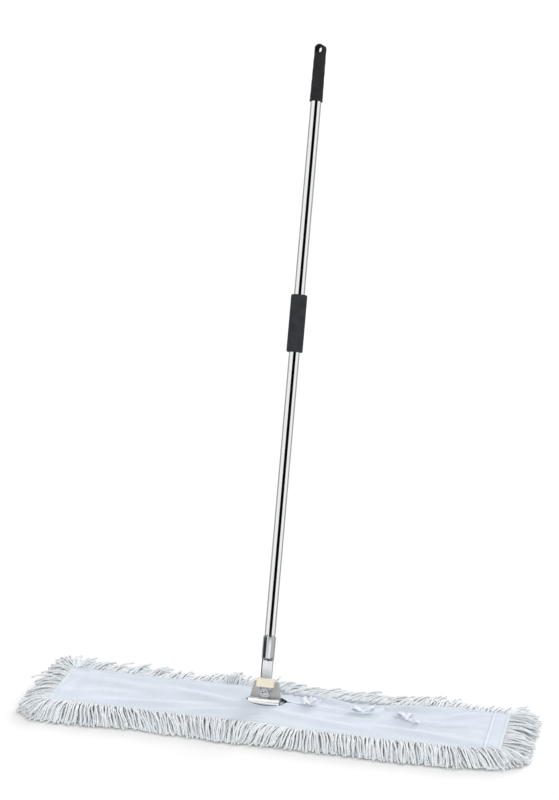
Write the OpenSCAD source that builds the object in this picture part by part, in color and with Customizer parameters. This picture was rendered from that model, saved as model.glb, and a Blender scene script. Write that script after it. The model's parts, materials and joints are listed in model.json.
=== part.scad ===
// Dust mop: a wire-framed cotton mop head under a polished tube handle.
// The handle stands on a rolled clip that tilts on the frame's centre tube,
// and its flat tongue swings sideways on the clip's rivet.
// Millimetres. +X along the mop head, +Y away from the user, +Z up, floor at Z = 0.

/* [Handle] */
// Distance from the rivet to the top of the cap
handle_reach = 1318.5; // [1000:0.5:1600]
// Backward lean of the handle at rest, in degrees
lean = 21; // [0:0.5:40]
// Outer diameter of the handle tube
tube_d = 22; // [18:0.5:28]
// Wall of the handle tube
tube_wall = 0.8; // [0.6:0.1:1.5]
// Height of the joint between the two tubes above the rivet
joint_rise = 745; // [500:1:850]
// Length of the foam grip over the joint
grip_l = 117; // [100:1:180]
// Thickness of the foam grip
grip_wall = 5.5; // [3:0.5:9]
// Rounding of the foam grip's ends
grip_round = 2.5; // [1:0.5:3]
// Length of each plastic insert in the tubes
joiner_l = 38; // [25:1:50]
// Diameter of the screwed stud between the inserts
stud_d = 14; // [10:0.5:15]
// Length of the screwed stud
stud_l = 22; // [12:1:23]

/* [Hang cap] */
// Length of the cap
cap_l = 118; // [90:1:160]
// Wall of the cap at its open end
cap_wall = 1.9; // [1.5:0.1:4]
// Wall of the cap at its eye
cap_top_wall = 0.7; // [0.5:0.1:3]
// Height of the finger waves on the cap
cap_wave = 0.35; // [0:0.05:0.4]
// Number of finger waves along the cap
cap_waves = 5; // [3:1:8]
// Extra radius of the lip at the open end
cap_lip = 0.7; // [0.3:0.1:1.5]
// Height of the lip at the open end
cap_lip_h = 4; // [2:0.5:8]
// Diameter of the hang hole
eye_d = 12.5; // [8:0.5:14]
// Distance of the hang hole below the top of the cap
eye_drop = 11; // [10:0.5:14]
// Thickness of the flattened eye
eye_t = 15; // [10:0.5:18]
// Depth of the oval recess round the hang hole
eye_recess = 2; // [1:0.5:3]
// Extra height of the oval recess over the hang hole
eye_oval = 4; // [2:0.5:5]
// Turn of the hang hole about the handle, in degrees
eye_turn = 15; // [0:1:30]

/* [Socket] */
// Wall of the socket
socket_wall = 1.8; // [1.2:0.1:3]
// Length of the round part of the socket
socket_l = 43; // [30:0.5:60]
// Distance from the rivet up to the round part
tongue_l = 69.5; // [68:0.5:90]
// Length over which the round part is pressed flat
press_l = 5; // [4:0.5:18]
// Width of the two creases pressed into each face of the shoulder
crease_d = 3.6; // [3:0.1:5]
// Distance between the two creases
crease_gap = 5.2; // [5:0.1:8]
// Width of the flat tongue
tongue_w = 24; // [19:0.5:26]
// Thickness of the flat tongue
tongue_t = 7; // [6:0.5:8]
// Wall of the flattened tongue
tongue_wall = 1.5; // [1:0.1:2]
// Radius of the tongue's end round the rivet
tongue_end_r = 8.4; // [7.5:0.1:8.8]
// Diameter of the crimp dents that hold the tube
dent_d = 5; // [3:0.5:6]
// Depth of the crimp dents
dent_depth = 0.8; // [0.4:0.1:1]

/* [Slide block] */
// Width of the nylon block
block_w = 34.5; // [30:0.5:40]
// Height of the nylon block
block_h = 17.5; // [12:0.5:18]
// Front wall of the nylon block
block_front = 7.2; // [3:0.1:9]
// Rounding of the block's upright edges
block_round = 2; // [1:0.5:3]
// Distance from the rivet up to the block
block_rise = 11.8; // [11.5:0.1:14]

/* [Clip] */
// Thickness of the clip's sheet
sheet_t = 1.5; // [1:0.1:2]
// Length of the rolled barrel, which is the plate's lower width
clip_w = 64; // [58:0.5:80]
// Width of the plate at its top
clip_top_w = 51; // [40:0.5:56]
// Height of the plate above the rivet
clip_rise = 22.5; // [18:0.5:26]
// Height of the plate's upright lower edges
clip_straight = 6; // [4:0.5:8]
// Rounding of the plate's top corners
clip_round = 4; // [2:0.5:6]
// Gap between the rolled edge and the spacer
roll_gap = 0.35; // [0.2:0.05:1]
// Distance from the hinge axis up to the rivet
rivet_rise = 19; // [18:0.5:22]
// Diameter of the rivet's shank
rivet_d = 6; // [5:0.1:8]
// Diameter of the rivet's domed head
rivet_head_d = 11.5; // [10:0.5:13]
// Height of the rivet's domed head
rivet_head_h = 3; // [2:0.1:4]
// Height of the rivet's flat tail behind the plate
rivet_tail_h = 1.8; // [1:0.1:2]
// Diameter of the washer under the rivet's head
washer_d = 15.5; // [14:0.5:18]
// Thickness of the washer under the rivet's head
washer_t = 1.2; // [0.8:0.1:2]
// Diameter of the spacer between the tongue and the plate
spacer_d = 22; // [16:0.5:22.5]

/* [Wire frame] */
// Diameter of the frame's wire
wire_d = 6.5; // [5.5:0.5:7]
// Room between the frame's wire and the nearer end of the cloth
pocket_end = 9; // [6:0.5:20]
// Room between the frame's wire and the nearer side of the cloth
pocket_side = 14; // [6:0.5:20]
// Bend radius at the frame's corners
bend_r = 18; // [12:1:30]
// Diameter of the centre tube that the clip turns on
hinge_tube_d = 15.5; // [14:0.1:17]
// Side play of the clip between the cross wires
clip_play = 0.5; // [0.2:0.1:2]
// Overhang of the centre rod past the cross wires
centre_rod_over = 0.5; // [0.5:0.5:4]

/* [Mop head] */
// Length of the cloth
cloth_l = 916; // [700:1:1100]
// Width of the cloth
cloth_w = 158; // [130:1:200]
// Shift of the cloth to the right of the clip
cloth_shift_x = 29; // [0:1:30]
// Shift of the cloth towards the user
cloth_shift_y = 9; // [0:1:10]
// Thickness of the cloth
cloth_t = 1.2; // [0.8:0.1:2]
// Depth of the looped yarn under the cloth
pad_h = 15; // [12:0.5:20]
// Reach of the fringe past the cloth
fringe_l = 58; // [40:1:80]
// Height of the fringe's outer edge
fringe_tip_h = 4; // [2:0.5:8]
// Drop of the fringe's root below the top of the cloth
fringe_root_drop = 1; // [0.5:0.5:4]
// Room in the opening past each end of the centre rod
opening_end = 6; // [3:0.5:12]
// Room in the opening in front of and behind the clip's barrel
opening_side = 13; // [10:0.5:16]
// Shift of the opening away from the user
opening_shift = 4; // [2:0.5:6]
// Width of the slit from the opening to the end seam
slit_w = 2.4; // [1:0.1:4]
// Distance of the slit's near end behind the hinge axis
slit_back = 13; // [6:0.5:16]
// Bow of the slit towards the user
slit_bow = 11; // [0:0.5:20]
// Length of the doubled cloth at the right-hand end
end_panel_l = 35; // [25:1:50]

/* [Ties] */
// Distances of the ties to the right of the clip
tie_places = [88, 201, 290];
// Turn of each tie on the cloth, in degrees
tie_turns = [24, -8, -30];
// Width of the tie's tape
tie_w = 11; // [8:0.5:14]
// Reach of each loop of the bow
tie_loop_l = 19; // [14:0.5:26]
// Thickness of the bow's loops
tie_loop_t = 4; // [2:0.5:6]
// Diameter of the knot
knot_d = 11; // [8:0.5:14]
// Height of the knot
knot_h = 7; // [5:0.5:10]
// Length of each loose tail
tail_l = 26; // [15:1:40]
// Thickness of the loose tails
tail_t = 1.6; // [1:0.1:3]

/* [Clearances] */
// Radial gap of the running fits
run_gap = 0.05; // [0.02:0.01:0.1]
// Gap between pieces that slide past each other
slide_gap = 0.3; // [0.2:0.05:0.4]
// End play of the tongue on the rivet
end_play = 0.15; // [0.1:0.05:0.3]
// Gap between soft pieces and the frame
soft_gap = 0.3; // [0.2:0.1:1]

/* [Hidden] */

$fn = 64;
hull_fn = 32;
arc_steps = 8;
over = 1;
slice = 0.02;

// Levels of the mop head, from the floor up
backing_top = pad_h + cloth_t;
wire_z = backing_top + soft_gap + wire_d / 2;
cover_z = wire_z + wire_d / 2 + soft_gap;
cover_top = cover_z + cloth_t;
hinge_z = wire_z + wire_d;

// Edges of the cloth
cloth_left = cloth_shift_x - cloth_l / 2;
cloth_right = cloth_shift_x + cloth_l / 2;
cloth_front = -cloth_shift_y - cloth_w / 2;
cloth_back = -cloth_shift_y + cloth_w / 2;
seam_x = cloth_right - end_panel_l;

// Wire centres of the frame, which fits the cloth's pocket
frame_l = cloth_l - 2 * (cloth_shift_x + pocket_end);
frame_w = cloth_w - 2 * (cloth_shift_y + pocket_side);

// Clip, measured along the handle from the hinge axis
bore_r = hinge_tube_d / 2 + run_gap;
barrel_r = bore_r + sheet_t;
rivet_at = rivet_rise;
plate_top = rivet_at + clip_rise;
side_angle = atan2((clip_w - clip_top_w) / 2, plate_top - clip_straight);

// Across the clip, from the hinge axis towards the back
tongue_face = tongue_t / 2;
washer_front = -tongue_face - end_play - washer_t;
spacer_front = tongue_face + end_play;
block_front_face = -tongue_face - slide_gap - block_front;
block_back_face = bore_r - slide_gap;

// Cross wires on each side of the barrel, and the opening round the clip
cross_x = clip_w / 2 + clip_play + wire_d / 2;
centre_half = cross_x + wire_d / 2 + centre_rod_over;
opening_l = 2 * (centre_half + opening_end);
opening_w = 2 * (barrel_r + opening_side);

// Handle, measured along its own axis from the hinge axis
shoulder_at = rivet_at + tongue_l;
press_at = shoulder_at - press_l;
socket_top = shoulder_at + socket_l;
socket_bore_d = tube_d + 2 * run_gap;
socket_d = socket_bore_d + 2 * socket_wall;
tube_bore_d = tube_d - 2 * tube_wall;
joiner_d = tube_bore_d - 2 * run_gap;
joint_at = rivet_at + joint_rise;
handle_top = rivet_at + handle_reach;
cap_bottom = handle_top - cap_l;
cap_d = socket_bore_d + 2 * cap_wall;
cap_top_d = socket_bore_d + 2 * cap_top_wall;
eye_at = handle_top - eye_drop;
eye_flat_at = eye_at - eye_d / 2 - eye_oval / 2 - slide_gap;
tube_top = eye_flat_at - (cap_d - eye_t) / 2;
block_at = rivet_at + block_rise;

// Points of an arc about a centre, in degrees
function arc(centre, radius, from, to, steps = arc_steps) =
    [for (i = [0:steps]) let (a = from + (to - from) * i / steps) centre + radius * [cos(a), sin(a)]];

// Points in reverse order, and points of one side mirrored to the other
function reverse(points) = [for (i = [len(points) - 1:-1:0]) points[i]];
function mirrored(points) = [for (point = reverse(points)) [-point.x, point.y]];

// Height of the fringe at a reach from the cloth: a quarter-round droop
fringe_root = cover_top - fringe_root_drop;
function droop(u) = fringe_tip_h + (fringe_root - fringe_tip_h) * sqrt(max(0, 1 - pow(u, 2.2)));

// Line of the slit: from behind the hinge axis to the end seam, bowed mostly in its far half
slit_steps = 12;
function slit_share(x) = max(0, x - opening_l / 2) / (seam_x - opening_l / 2);
function slit_y(x) = slit_back * (1 - slit_share(x)) - slit_bow * sin(180 * pow(slit_share(x), 2));
function slit_edge(side) = concat([[0, slit_back + side * slit_w / 2]],
    [for (i = [0:slit_steps]) let (x = opening_l / 2 + (seam_x - opening_l / 2) * i / slit_steps)
        [x, slit_y(x) + side * slit_w / 2]]);

// Radius of the cap at a height above its open end, with its finger waves
function cap_r(t) =
    (cap_d + (cap_top_d - cap_d) * t / cap_l) / 2 + cap_wave * (1 - cos(360 * cap_waves * t / cap_l)) / 2;

// Puts pieces drawn along +Z onto the leaning handle
module on_handle() {
    translate([0, 0, hinge_z]) rotate([-lean, 0, 0]) children();
}

// Extrudes a front view, drawn in X and height, from one depth to another
module front_view(from, to) {
    translate([0, to, 0]) rotate([90, 0, 0]) linear_extrude(to - from) children();
}

// A rod along X
module rod_x(length, diameter) {
    rotate([0, 90, 0]) cylinder(d = diameter, h = length);
}

// A rod along Y
module rod_y(length, diameter) {
    rotate([-90, 0, 0]) cylinder(d = diameter, h = length);
}

// A bar with round ends, centred, its length along X
module stadium(length, width) {
    square([length - width, width], center = true);
    for (side = [-1, 1]) translate([side * (length - width) / 2, 0]) circle(d = width);
}

// A rectangle with round corners between two corners
module round_rect(low, high, radius) {
    translate(low + [radius, 0]) square([high.x - low.x - 2 * radius, high.y - low.y]);
    translate(low + [0, radius]) square([high.x - low.x, high.y - low.y - 2 * radius]);
    for (x = [low.x + radius, high.x - radius], y = [low.y + radius, high.y - radius])
        translate([x, y]) circle(r = radius);
}

// One half of the wire frame: two rails, two bends and the end bar
module frame_half(side) {
    rail_l = frame_l / 2 - bend_r;
    bar_l = frame_w - 2 * bend_r;
    translate([0, 0, wire_z]) mirror([side < 0 ? 1 : 0, 0, 0]) {
        for (y = [-1, 1]) {
            translate([0, y * frame_w / 2, 0]) rod_x(rail_l, wire_d);
            translate([rail_l, y * bar_l / 2, 0])
                rotate([0, 0, y < 0 ? -90 : 0])
                    rotate_extrude(angle = 90) translate([bend_r, 0]) circle(d = wire_d);
        }
        translate([frame_l / 2, -bar_l / 2, 0]) rod_y(bar_l, wire_d);
    }
}

module frame_wire_left() {
    color("silver") frame_half(-1);
}

module frame_wire_right() {
    color("silver") frame_half(1);
}

// Wire between the rails that carries one end of the centre rod
module cross_wire(side) {
    cross_l = frame_w - wire_d;
    translate([side * cross_x, -cross_l / 2, wire_z]) rod_y(cross_l, wire_d);
}

module cross_wire_left() {
    color("silver") cross_wire(-1);
}

module cross_wire_right() {
    color("silver") cross_wire(1);
}

module centre_rod() {
    color("silver") translate([-centre_half, 0, hinge_z]) rod_x(2 * centre_half, wire_d);
}

// Bush on the centre rod, as long as the clip's barrel
module centre_tube() {
    bush_l = clip_w + clip_play;
    color("lightgray") translate([-bush_l / 2, 0, hinge_z]) difference() {
        rod_x(bush_l, hinge_tube_d);
        translate([-over, 0, 0]) rod_x(bush_l + 2 * over, wire_d + 2 * run_gap);
    }
}

// Cloth top with its edges turned down to the backing, the clip's opening and the slit
module top_cover() {
    color("aliceblue") difference() {
        translate([cloth_left, cloth_front, backing_top])
            cube([cloth_l, cloth_w, cover_top - backing_top]);
        translate([cloth_left + cloth_t, cloth_front + cloth_t, backing_top - over])
            cube([cloth_l - 2 * cloth_t, cloth_w - 2 * cloth_t, cover_z - backing_top + over]);
        translate([0, opening_shift, cover_z - over])
            linear_extrude(cloth_t + 2 * over) stadium(opening_l, opening_w);
        translate([0, 0, cover_z - over]) linear_extrude(cloth_t + 2 * over)
            polygon(concat(slit_edge(-1), reverse(slit_edge(1))));
    }
}

module end_panel() {
    color("white") translate([seam_x, cloth_front, cover_top]) cube([end_panel_l, cloth_w, cloth_t]);
}

module bottom_backing() {
    color("whitesmoke") translate([cloth_left, cloth_front, pad_h]) cube([cloth_l, cloth_w, cloth_t]);
}

module yarn_pad() {
    color("gainsboro") translate([cloth_left, cloth_front, 0]) cube([cloth_l, cloth_w, pad_h]);
}

// Section of the fringe, from its root at the cloth out to its tips on the floor
module fringe_section() {
    polygon(concat([[0, 0]],
        [for (i = [0:arc_steps]) [fringe_l * i / arc_steps, droop(i / arc_steps)]],
        [[fringe_l, 0]]));
}

// Straight run of fringe that points along -Y, from x = 0 to its length
module fringe_run(length) {
    rotate([90, 0, 90]) linear_extrude(length) mirror([1, 0]) fringe_section();
}

// Fan of fringe round one corner of the cloth
module fringe_fan(from) {
    rotate([0, 0, from]) rotate_extrude(angle = 90) fringe_section();
}

module fringe_front() {
    color("lightgray") translate([cloth_left, cloth_front, 0]) fringe_run(cloth_l);
}

module fringe_back() {
    color("lightgray") translate([cloth_right, cloth_back, 0]) rotate([0, 0, 180]) fringe_run(cloth_l);
}

module fringe_left() {
    color("lightgray") {
        translate([cloth_left, cloth_back, 0]) rotate([0, 0, -90]) fringe_run(cloth_w);
        translate([cloth_left, cloth_back, 0]) fringe_fan(90);
        translate([cloth_left, cloth_front, 0]) fringe_fan(180);
    }
}

module fringe_right() {
    color("lightgray") {
        translate([cloth_right, cloth_front, 0]) rotate([0, 0, 90]) fringe_run(cloth_w);
        translate([cloth_right, cloth_front, 0]) fringe_fan(270);
        translate([cloth_right, cloth_back, 0]) fringe_fan(0);
    }
}

// Bow of cloth tape across the slit: a knot, two loops and two tails
module tie(index) {
    translate([tie_places[index], slit_y(tie_places[index]), cover_top]) rotate([0, 0, tie_turns[index]]) {
        cylinder(d = knot_d, h = knot_h);
        for (side = [-1, 1]) {
            translate([side * tie_loop_l / 2, 0, 0])
                linear_extrude(tie_loop_t) stadium(tie_loop_l, tie_w);
            rotate([0, 0, side * 35 - 90]) translate([0, -tie_w / 3, 0]) cube([tail_l, tie_w * 2 / 3, tail_t]);
        }
    }
}

module tie_near() {
    color("white") tie(0);
}

module tie_middle() {
    color("white") tie(1);
}

module tie_far() {
    color("white") tie(2);
}

// Front view of the clip's plate: upright feet, sloping sides and round top corners
module plate_outline() {
    corner_in = clip_round / tan((90 + side_angle) / 2);
    corner = [clip_top_w / 2 - corner_in, plate_top - clip_round];
    right = concat([[clip_w / 2, 0], [clip_w / 2, clip_straight]], arc(corner, clip_round, side_angle, 90));
    polygon(concat(right, mirrored(right)));
}

// One sheet: an upright plate whose lower edge is rolled forwards into the barrel
module clip_plate() {
    color("darkgray") on_handle() difference() {
        union() {
            front_view(bore_r, barrel_r) plate_outline();
            difference() {
                translate([-clip_w / 2, 0, 0]) rod_x(clip_w, 2 * barrel_r);
                translate([-clip_w / 2 - over, spacer_front - roll_gap, 0])
                    cube([clip_w + 2 * over, bore_r - spacer_front + roll_gap, barrel_r + over]);
            }
        }
        translate([-clip_w / 2 - over, 0, 0]) rod_x(clip_w + 2 * over, 2 * bore_r);
        translate([0, 0, rivet_at]) rod_y(2 * barrel_r, rivet_d);
    }
}

// Rivet with a domed head in front and a flat tail behind the plate
module pivot_rivet() {
    dome_r = (pow(rivet_head_d / 2, 2) + pow(rivet_head_h, 2)) / (2 * rivet_head_h);
    color("gainsboro") on_handle() translate([0, 0, rivet_at]) {
        translate([0, washer_front, 0]) {
            rod_y(barrel_r - washer_front, rivet_d);
            intersection() {
                translate([0, dome_r - rivet_head_h, 0]) sphere(r = dome_r);
                translate([0, -rivet_head_h - over, 0]) rod_y(rivet_head_h + over, rivet_head_d);
            }
        }
        translate([0, barrel_r, 0]) rod_y(rivet_tail_h, rivet_head_d);
    }
}

// Flat ring on the rivet
module rivet_ring(from, thickness, diameter) {
    on_handle() translate([0, from, rivet_at]) difference() {
        rod_y(thickness, diameter);
        translate([0, -over, 0]) rod_y(thickness + 2 * over, rivet_d + 2 * run_gap);
    }
}

module rivet_washer() {
    color("silver") rivet_ring(washer_front, washer_t, washer_d);
}

module spacer_washer() {
    color("gray") rivet_ring(spacer_front, bore_r - spacer_front, spacer_d);
}

// Front view of the tongue: straight sides drawn in to the round end at the rivet
module tongue_outline(inset) {
    half = tongue_w / 2 - inset;
    right = concat(arc([0, rivet_at], tongue_end_r, -90, 20),
        [[half, rivet_at + tongue_end_r], [half, press_at + over]]);
    polygon(concat(right, mirrored(right)));
}

// Flattened tube between two heights, pressed out to the round part above
module pressed_tube(width, thickness, diameter, from) {
    translate([0, 0, from]) linear_extrude(press_at - from) stadium(width, thickness);
    hull() {
        translate([0, 0, press_at]) linear_extrude(slice) stadium(width, thickness, $fn = hull_fn);
        translate([0, 0, shoulder_at - slice]) cylinder(d = diameter, h = slice, $fn = hull_fn * 2);
    }
}

// Ferrule: round above, pressed flat below, open at its lower end
module socket() {
    foot = rivet_at - tongue_end_r;
    color("silver") on_handle() difference() {
        union() {
            translate([0, 0, shoulder_at]) cylinder(d = socket_d, h = socket_l);
            pressed_tube(tongue_w, tongue_t, socket_d, foot);
        }
        translate([0, 0, shoulder_at + tongue_wall]) cylinder(d = socket_bore_d, h = socket_l);
        translate([0, 0, foot - over]) linear_extrude(press_at - foot + over)
            stadium(tongue_w - 2 * tongue_wall, tongue_t - 2 * tongue_wall);
        difference() {
            front_view(-tongue_t, tongue_t) translate([-tongue_w, foot - over]) square([2 * tongue_w, press_at - foot]);
            front_view(-tongue_t - over, tongue_t + over) tongue_outline(0);
        }
        translate([0, -tongue_t, rivet_at]) rod_y(2 * tongue_t, rivet_d + 2 * run_gap);
        for (turn = [0, 90, 180, 270]) rotate([0, 0, turn + 45])
            translate([0, -socket_d / 2 + dent_depth, shoulder_at + dent_d])
                rotate([90, 0, 0]) cylinder(d = dent_d, h = socket_d);
        for (turn = [0, 180], side = [-1, 1]) rotate([0, 0, turn])
            translate([side * crease_gap / 2, -(socket_d + tongue_t) / 4, (press_at + shoulder_at) / 2])
                rotate([atan2((socket_d - tongue_t) / 2, press_l), 0, 0])
                    linear_extrude(0.7 * norm([(socket_d - tongue_t) / 2, press_l]), center = true)
                        polygon(crease_d / 2 * [[-1, -1], [1, -1], [0, 1]]);
    }
}

// Length of handle tube between two heights
module handle_tube(from, to) {
    on_handle() translate([0, 0, from]) difference() {
        cylinder(d = tube_d, h = to - from);
        translate([0, 0, -over]) cylinder(d = tube_bore_d, h = to - from + 2 * over);
    }
}

module lower_tube() {
    color("gainsboro") handle_tube(shoulder_at + tongue_wall, joint_at);
}

module upper_tube() {
    color("gainsboro") handle_tube(joint_at, tube_top);
}

module joiner_plug() {
    color("white") on_handle() {
        translate([0, 0, joint_at - joiner_l]) cylinder(d = joiner_d, h = joiner_l);
        translate([0, 0, joint_at]) cylinder(d = stud_d, h = stud_l);
    }
}

module joiner_sleeve() {
    color("white") on_handle() translate([0, 0, joint_at]) difference() {
        cylinder(d = joiner_d, h = joiner_l);
        translate([0, 0, -over]) cylinder(d = stud_d + 2 * run_gap, h = stud_l + 2 * over);
    }
}

module mid_grip() {
    grip_in = tube_d / 2 + run_gap;
    grip_out = grip_in + grip_wall;
    low = joint_at - grip_l / 2;
    high = joint_at + grip_l / 2;
    color("dimgray") on_handle() rotate_extrude()
        polygon(concat(
            [[grip_in, low]],
            arc([grip_out - grip_round, low + grip_round], grip_round, -90, 0),
            arc([grip_out - grip_round, high - grip_round], grip_round, 0, 90),
            [[grip_in, high]]));
}

// Outside of the cap: a lip at the open end, finger waves and a flat top
module cap_outside() {
    steps = cap_waves * arc_steps;
    lip_r = cap_r(0) + cap_lip;
    translate([0, 0, cap_bottom]) rotate_extrude() polygon(concat(
        [[0, 0], [lip_r, 0], [lip_r, cap_lip_h / 2], [cap_r(cap_lip_h), cap_lip_h]],
        [for (i = [0:steps]) let (t = cap_l * i / steps) if (t > cap_lip_h) [cap_r(t), t]],
        [[0, cap_l]]));
}

// Moulded cap with a flattened, round-topped eye
module hang_cap() {
    reach = cap_d;
    eye_r = cap_top_d / 2;
    color([0.13, 0.13, 0.14]) on_handle() rotate([0, 0, -eye_turn]) difference() {
        cap_outside();
        translate([0, 0, cap_bottom - over]) cylinder(d = socket_bore_d, h = tube_top - cap_bottom + over);
        for (side = [0, 1]) mirror([0, side, 0]) rotate([90, 0, 90]) linear_extrude(2 * reach, center = true)
            polygon([[eye_t / 2, handle_top + over], [eye_t / 2, eye_flat_at],
                [eye_t / 2 + reach, eye_flat_at - reach], [eye_t / 2 + reach, handle_top + over]]);
        difference() {
            translate([-reach, -reach, eye_at]) cube(2 * reach);
            translate([0, -2 * reach, eye_at]) rod_y(4 * reach, 2 * min(eye_r, eye_drop));
        }
        translate([0, -reach, eye_at]) rod_y(2 * reach, eye_d);
        for (side = [-1, 1]) translate([0, side * eye_t / 2, eye_at])
            rotate([90, 90, 0]) linear_extrude(2 * eye_recess, center = true) stadium(eye_d + eye_oval, eye_d);
    }
}

// Nylon block round the tongue, its back wall between the tongue and the plate
module slide_block() {
    color("cornsilk") on_handle() translate([0, 0, block_at]) linear_extrude(block_h) difference() {
        round_rect([-block_w / 2, block_front_face], [block_w / 2, block_back_face], block_round);
        stadium(tongue_w + 2 * slide_gap, tongue_t + 2 * slide_gap);
    }
}

frame_wire_left();
frame_wire_right();
cross_wire_left();
cross_wire_right();
centre_rod();
centre_tube();
top_cover();
end_panel();
bottom_backing();
yarn_pad();
fringe_front();
fringe_back();
fringe_left();
fringe_right();
tie_near();
tie_middle();
tie_far();
clip_plate();
pivot_rivet();
rivet_washer();
spacer_washer();
socket();
lower_tube();
upper_tube();
joiner_plug();
joiner_sleeve();
mid_grip();
hang_cap();
slide_block();
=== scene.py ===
# %% [markdown]
# # A dust mop on its studio floor
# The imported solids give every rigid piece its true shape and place: the handle, the clip
# that tilts and swings, and the wire frame. This lesson dresses them. The cloth, the yarn
# and the tapes are soft, so they are worked out here as surfaces and take the places of
# their plain solids. Everything is in metres: +X runs along the mop head, +Y points away
# from the user and +Z points up.

import json

import bpy
import numpy as np
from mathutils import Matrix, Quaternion, Vector

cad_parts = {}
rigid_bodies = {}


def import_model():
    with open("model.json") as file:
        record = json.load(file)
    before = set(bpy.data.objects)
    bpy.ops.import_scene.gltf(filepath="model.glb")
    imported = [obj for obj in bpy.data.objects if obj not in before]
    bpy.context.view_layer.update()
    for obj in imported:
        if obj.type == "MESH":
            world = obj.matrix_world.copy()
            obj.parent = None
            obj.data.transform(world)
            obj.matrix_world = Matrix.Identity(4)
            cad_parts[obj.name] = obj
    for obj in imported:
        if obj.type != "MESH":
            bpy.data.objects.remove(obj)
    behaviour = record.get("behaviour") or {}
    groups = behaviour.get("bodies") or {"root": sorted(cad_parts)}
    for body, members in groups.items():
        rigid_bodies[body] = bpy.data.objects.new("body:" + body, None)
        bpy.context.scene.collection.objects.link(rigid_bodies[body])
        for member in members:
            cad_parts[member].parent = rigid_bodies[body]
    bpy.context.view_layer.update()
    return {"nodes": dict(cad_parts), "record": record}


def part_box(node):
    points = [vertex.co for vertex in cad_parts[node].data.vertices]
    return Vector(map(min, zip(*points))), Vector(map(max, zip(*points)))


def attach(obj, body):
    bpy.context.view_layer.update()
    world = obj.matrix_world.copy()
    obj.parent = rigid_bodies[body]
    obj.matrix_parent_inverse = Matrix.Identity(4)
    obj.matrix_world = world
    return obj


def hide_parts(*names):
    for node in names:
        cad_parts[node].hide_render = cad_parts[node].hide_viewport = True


for leftover in list(bpy.data.objects):
    bpy.data.objects.remove(leftover)

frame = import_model()
MM = 0.001


# %% [markdown]
# ## Camera
# The picture is a long-lens product shot. The camera stands to the right of the mop and
# above it, and looks a little down. A camera could be placed by eye; here its distance,
# turn and height were fitted to the corners of the cloth and to the line of the handle.

# %% Camera
scene = bpy.context.scene
scene.view_settings.view_transform = "Standard"

CAMERA_SPOT = Vector((0.888, -3.536, 1.792))
CAMERA_AIM = Vector((0.0305, 0.0, 0.6623))
CAMERA_ROLL = np.radians(0.1)

camera_data = bpy.data.cameras.new("portrait_camera")
camera_data.sensor_width = 36
camera_data.lens = 90
camera = bpy.data.objects.new("portrait_camera", camera_data)
camera.location = CAMERA_SPOT
level_view = (CAMERA_AIM - CAMERA_SPOT).to_track_quat("-Z", "Y")
camera.rotation_euler = (level_view @ Quaternion((0, 0, 1), CAMERA_ROLL)).to_euler()
scene.collection.objects.link(camera)
scene.camera = camera
print("camera distance", round((CAMERA_AIM - CAMERA_SPOT).length, 3))

# %% [markdown]
# ## A short way to wire shader nodes
# Each finish below is a small graph. Writing every socket and link on its own line hides
# the idea, so a few helpers add a node, set the sockets that they are given by name and
# link those that are given another node's output.

# %% Node helpers
def feed(tree, socket, value):
    """Links a socket to another node's output, or sets any other value as its default."""
    if isinstance(value, bpy.types.NodeSocket):
        tree.links.new(value, socket)
    else:
        socket.default_value = value


def wire(tree, node, **sockets):
    """Feeds a node's sockets by name, with _ for a space."""
    for key, value in sockets.items():
        feed(tree, node.inputs[key.replace("_", " ")], value)


def add(tree, kind, settings=None, ports=(), **sockets):
    """Adds a node. Ports are fed by number, sockets by name."""
    made = tree.nodes.new("ShaderNode" + kind)
    for key, value in (settings or {}).items():
        setattr(made, key, value)
    for socket, value in zip(made.inputs, ports):
        feed(tree, socket, value)
    wire(tree, made, **sockets)
    return made


def math(tree, operation, *ports):
    """One Math node's result."""
    return add(tree, "Math", {"operation": operation}, ports).outputs[0]


def vector_math(tree, operation, *ports, **sockets):
    """One Vector Math node's outputs, Vector and Value."""
    return add(tree, "VectorMath", {"operation": operation}, ports, **sockets).outputs


def ramp(tree, value, low, high, first=0.0, last=1.0):
    """Goes from first to last while a value goes from low to high, and stops at both."""
    made = add(tree, "MapRange", Value=value, From_Min=low, From_Max=high, To_Min=first, To_Max=last)
    return made.outputs[0]


def new_group(name, inputs, outputs):
    """A shader node group with these float inputs, vector ones where the default is None,
    and these float outputs; gives its tree, what comes in and the node that puts out."""
    tree = bpy.data.node_groups.new(name, "ShaderNodeTree")
    for label, default in inputs.items():
        kind = "NodeSocketVector" if default is None else "NodeSocketFloat"
        socket = tree.interface.new_socket(label, in_out="INPUT", socket_type=kind)
        if default is not None:
            socket.default_value = default
    for label in outputs:
        tree.interface.new_socket(label, in_out="OUTPUT", socket_type="NodeSocketFloat")
    source = tree.nodes.new("NodeGroupInput")
    return tree, source.outputs, tree.nodes.new("NodeGroupOutput")


print("node helpers", [helper.__name__ for helper in (add, math, vector_math, ramp, new_group)])

# %% [markdown]
# ## Studio
# The mop stands on a white sweep in soft, even light. White cloth on a white floor only
# reads if nothing clips, so the lamps and the sky together bring a flat white sheet to just
# about white. An area lamp would leave the far floor grey; suns with wide discs light it all
# alike and still throw soft shadows. A broad one stands behind on the right, a lower one
# behind draws the shadow in front of the mop, and a low one in front fills the fringe. The
# floor and the sky look white to the camera and to polished metal through a little extra
# glow that only those rays see, so the shadow stays and no glow reaches the cloth.

# %% Sky
WHITE = (1, 1, 1, 1)
SKY_LEVEL = 0.68


def seen_directly(tree):
    """1 for rays from the camera, from a mirror-like surface or through glass, else 0."""
    path = add(tree, "LightPath").outputs
    shiny = math(tree, "MAXIMUM", path["Is Glossy Ray"], path["Is Transmission Ray"])
    return math(tree, "MAXIMUM", path["Is Camera Ray"], shiny)


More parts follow.
